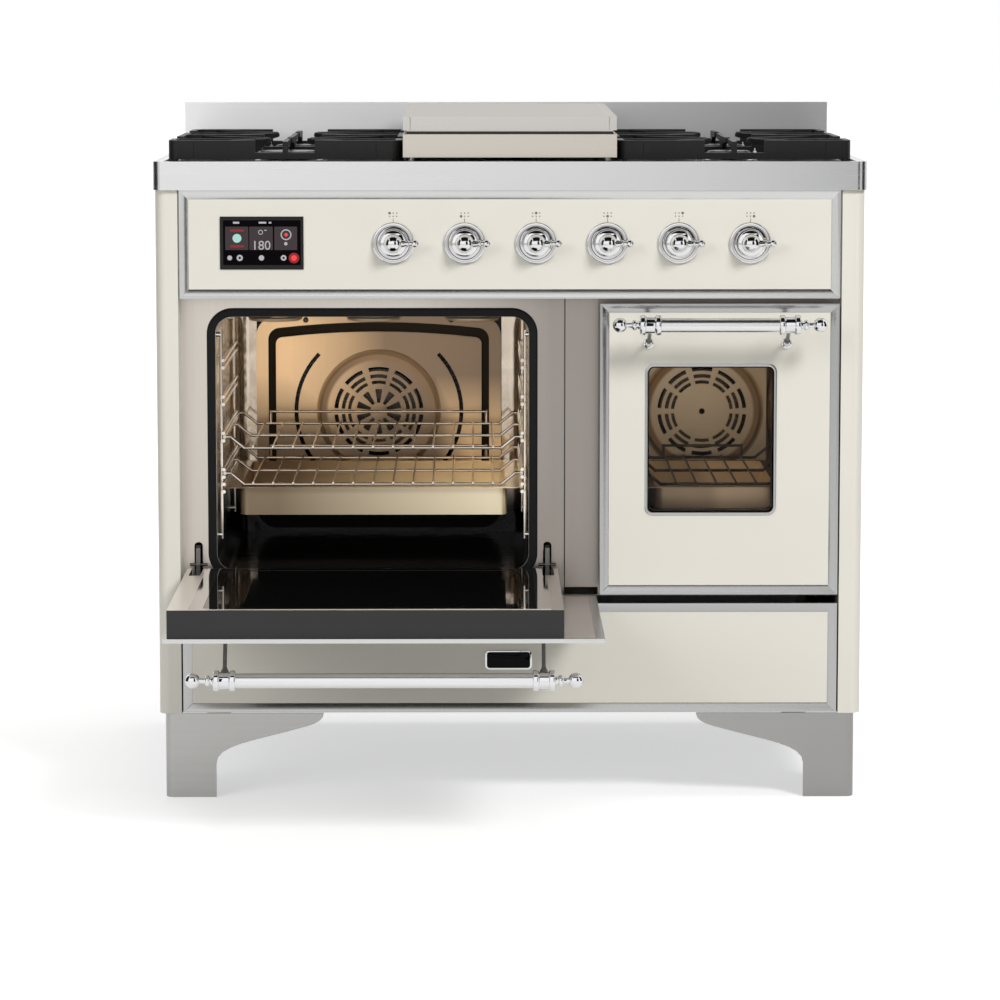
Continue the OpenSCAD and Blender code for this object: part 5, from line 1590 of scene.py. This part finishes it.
@dataclass
class Casing:
    """Dressing of the CAD nodes: sheet pieces with rounded edges, and those that keep their own mesh.

    A softened node has its finish, or none where its painted shades follow other pieces, and the width of
    its rounding.
    """

    flat: float = 0.6
    fold: float = 30.0
    run: float = 0.45
    inlay_side: float = 0.0145
    inlay_front: float = 0.0035
    inlay_rear: float = 0.0125
    inlay_drop: float = 0.0068
    inlay_over: float = 0.0005
    # From here to tray_edge: places of the painted reflections and shades on hob, lid, ovens, baffles and rack.
    rim_end: float = 0.0105
    crease_gap: float = 0.0100
    lid_seam: float = 0.0036
    reflection_from: float = 0.045
    reflection_full: float = 0.095
    baffle_half: Span = (0.186, 0.100)
    baffle_back: float = 0.014
    groove_depth: float = 0.0082
    dish_slope: Span = (0.078, 0.091)
    rack_run: float = 0.1
    tray_edge: float = 0.0005
    softened: tuple[tuple[str, Finish | None, float], ...] = (
        ("side_panels", CREAM, 0.0004), ("legs", STEEL_LEGS, 0.0006), ("control_trim", STEEL_TRIM_LIT, 0.0005),
        ("hob_top", None, 0.0004), ("backguard", STEEL_GUARD, 0.0006), ("griddle", STEEL_WARM, 0.0005),
        ("griddle_lid", None, 0.0005), ("left_grate", IRON, 0.0011), ("right_grate", IRON, 0.0011),
        ("left_door_trim", STEEL_TRIM_LIT, 0.0005), ("right_door_trim", STEEL_TRIM, 0.0005),
        ("drawer_trim", STEEL_TRIM, 0.0005),
        ("left_door_core", CORE_OPENED, 0.0006), ("right_door_core", CORE_SHUT, 0.0006),
    )
    painted: tuple[tuple[Finish, tuple[str, ...]], ...] = (
        (CREAM, ("control_panel", "drawer_panel")), (CREAM_OPENED, ("left_door_panel",)),
        (CREAM_SHUT, ("right_door_panel",)), (ZINC, ("drawer_housing", "drawer_rails", "back_panel", "drawer_box")),
        (SCREEN, ("touch_display",)), (ALLOY, ("burner_bodies",)), (FAN, ("left_fan", "right_fan")),
        (CAP, ("burner_caps",)), (BRASS, ("gas_manifold", *[f"valve_stem_{i}" for i in KNOBS])),
        (WOOL, ("insulation",)), (SEAL, ("door_seals",)), (MOTOR, ("fan_motors",)), (TUBE, ("heating_elements",)),
        (HINGE, ("hinge_arms",)), (LAMP_GLASS, ("oven_lamps",)), (WIRE, ("rack_guides",)),
        (SHELF_WIRE, ("upper_shelf", "lower_shelf")), (TRAY, ("baking_tray",)), (DOOR_GLASS, ("left_door_glass",)),
        (WINDOW, ("right_door_glass",)),
    )

    def soften(self, node: str, finish: Finish, width: float) -> None:
        """Stand a copy with rounded edges in for a CAD node.

        Args:
            node: Name of the CAD node.
            finish: Finish of the copy.
            width: Width of the rounding.
        """
        source = frame["nodes"][node]
        mesh = bmesh.new()
        mesh.from_mesh(source.data)
        bmesh.ops.remove_doubles(mesh, verts=mesh.verts, dist=WELD)
        bmesh.ops.dissolve_limit(mesh, angle_limit=math.radians(self.flat), verts=mesh.verts, edges=mesh.edges)
        round_edges(mesh, width, self.fold)
        for face in mesh.faces:
            face.material_index = 0
        copy = enlist(settle(mesh, node + "_sheet", [finish]), source["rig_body"])
        weigh_normals(copy)
        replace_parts(copy, node)

    def sheets(self) -> None:
        """Dress the sheets, with the painted shades that follow the places of other pieces worked out here."""
        low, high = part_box("hob_top")
        inlay_low = (low.x + self.inlay_side, low.y + self.inlay_front, high.z - self.inlay_drop)
        inlay_high = (high.x - self.inlay_side, high.y - self.inlay_rear, high.z + self.inlay_over)
        # Painted reflection: the fascia darkens from left to right and takes another shade at its rounded ends.
        hob = Inlaid("hob_sheet", (0.96, 0.96, 0.96), roughness=0.26, contrast=0.025, last=(0.80, 0.80, 0.81),
                     start=-self.run, end=self.run, corner=high.x - self.rim_end, low=inlay_low, high=inlay_high)
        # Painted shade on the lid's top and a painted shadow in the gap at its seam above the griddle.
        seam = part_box("griddle_lid")[0].z + self.lid_seam
        lid = Facing("steel_lid", (0.77, 0.74, 0.70), roughness=0.26, contrast=0.03, last=(0.77, 0.74, 0.70),
                     turned=(0.36, 0.335, 0.31), seam=seam)
        own = {"hob_top": hob, "griddle_lid": lid}
        for node, finish, width in self.softened:
            self.soften(node, finish or own[node], width)
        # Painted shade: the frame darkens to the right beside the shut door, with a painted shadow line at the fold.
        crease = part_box("left_door_core")[1].x + self.crease_gap
        paint(Graded("steel_brushed_upright", (0.80, 0.74, 0.67), roughness=0.34, grain=Grain.UPRIGHT,
                     contrast=0.06, last=(0.43, 0.39, 0.355), start=-0.14, end=0.06, crease=crease), "front_frame")

    def ovens(self) -> None:
        """Dress the ovens, their baffles and the racks on the right, with their painted shades and reflections."""
        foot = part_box("left_oven")[0].z
        wide, narrow = centre("left_fan"), centre("right_fan")
        dishes = ((wide.x, wide.z), (narrow.x, narrow.z))
        plates = tuple((x - half, x + half) for (x, _), half in zip(dishes, self.baffle_half))
        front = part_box("fan_baffles")[0].y
        tray_low, tray_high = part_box("baking_tray")
        # Painted reflection on the oven walls, paler upwards, kept off the back behind the plates.
        paint(Speckled("oven_enamel_coat", (0.010, 0.009, 0.008), roughness=0.14, specular=0.25,
                       reflection_from=foot + self.reflection_from, reflection_full=foot + self.reflection_full,
                       back=front + self.baffle_back, plates=plates), "left_oven", "right_oven")
        # Painted reflection across the baffles, bright at the left, dark at the right and turned round low down.
        paint(Pressed("baffle_steel", (0.95, 0.72, 0.46), roughness=0.3, specular=0.1, metallic=0.6,
                      grain=Grain.UPRIGHT, last=(0.24, 0.19, 0.145), start=wide.x - 0.14, end=wide.x + 0.01,
                      crossing=(wide.z + 0.055, wide.z - 0.05, wide.x + 0.085, wide.x + 0.14),
                      beside=(wide.x + narrow.x) / 2, groove_from=front + self.groove_depth,
                      foot=(tray_low.z + tray_high.z) / 2, dishes=dishes, slope=self.dish_slope), "fan_baffles")
        # Painted reflection along the tray under the right rack, and painted shade on up faces and on the wires
        # above.
        low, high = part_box("right_racks")
        crest = low.z + tray_high.z - tray_low.z + self.tray_edge
        paint(Facing("right_rack_steel", (0.60, 0.50, 0.38), roughness=0.3, metallic=0.5, last=(0.85, 0.70, 0.52),
                     start=low.x + self.rack_run, end=high.x - self.rack_run, turned=(0.03, 0.027, 0.024),
                     turned_metal=0.0, crest=crest), "right_racks")

    def build(self) -> None:
        """Dress every CAD node that has no piece of its own further down."""
        self.sheets()
        self.ovens()
        for finish, nodes in self.painted:
            paint(finish, *nodes)


def main() -> None:
    """Build the cooker's looks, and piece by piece."""
    logging.basicConfig(level=logging.INFO, format="%(message)s")
    studio = Studio()
    studio.camera()
    Casing().build()
    Controls().build()
    Door("left", span=0.424, swung=True).build()
    Door("right", span=0.194, swung=False, shift=-0.003, window_w=0.1815, window_shift=0.012).build()
    SmallParts().build()
    studio.build()


if __name__ == "__main__":
    main()
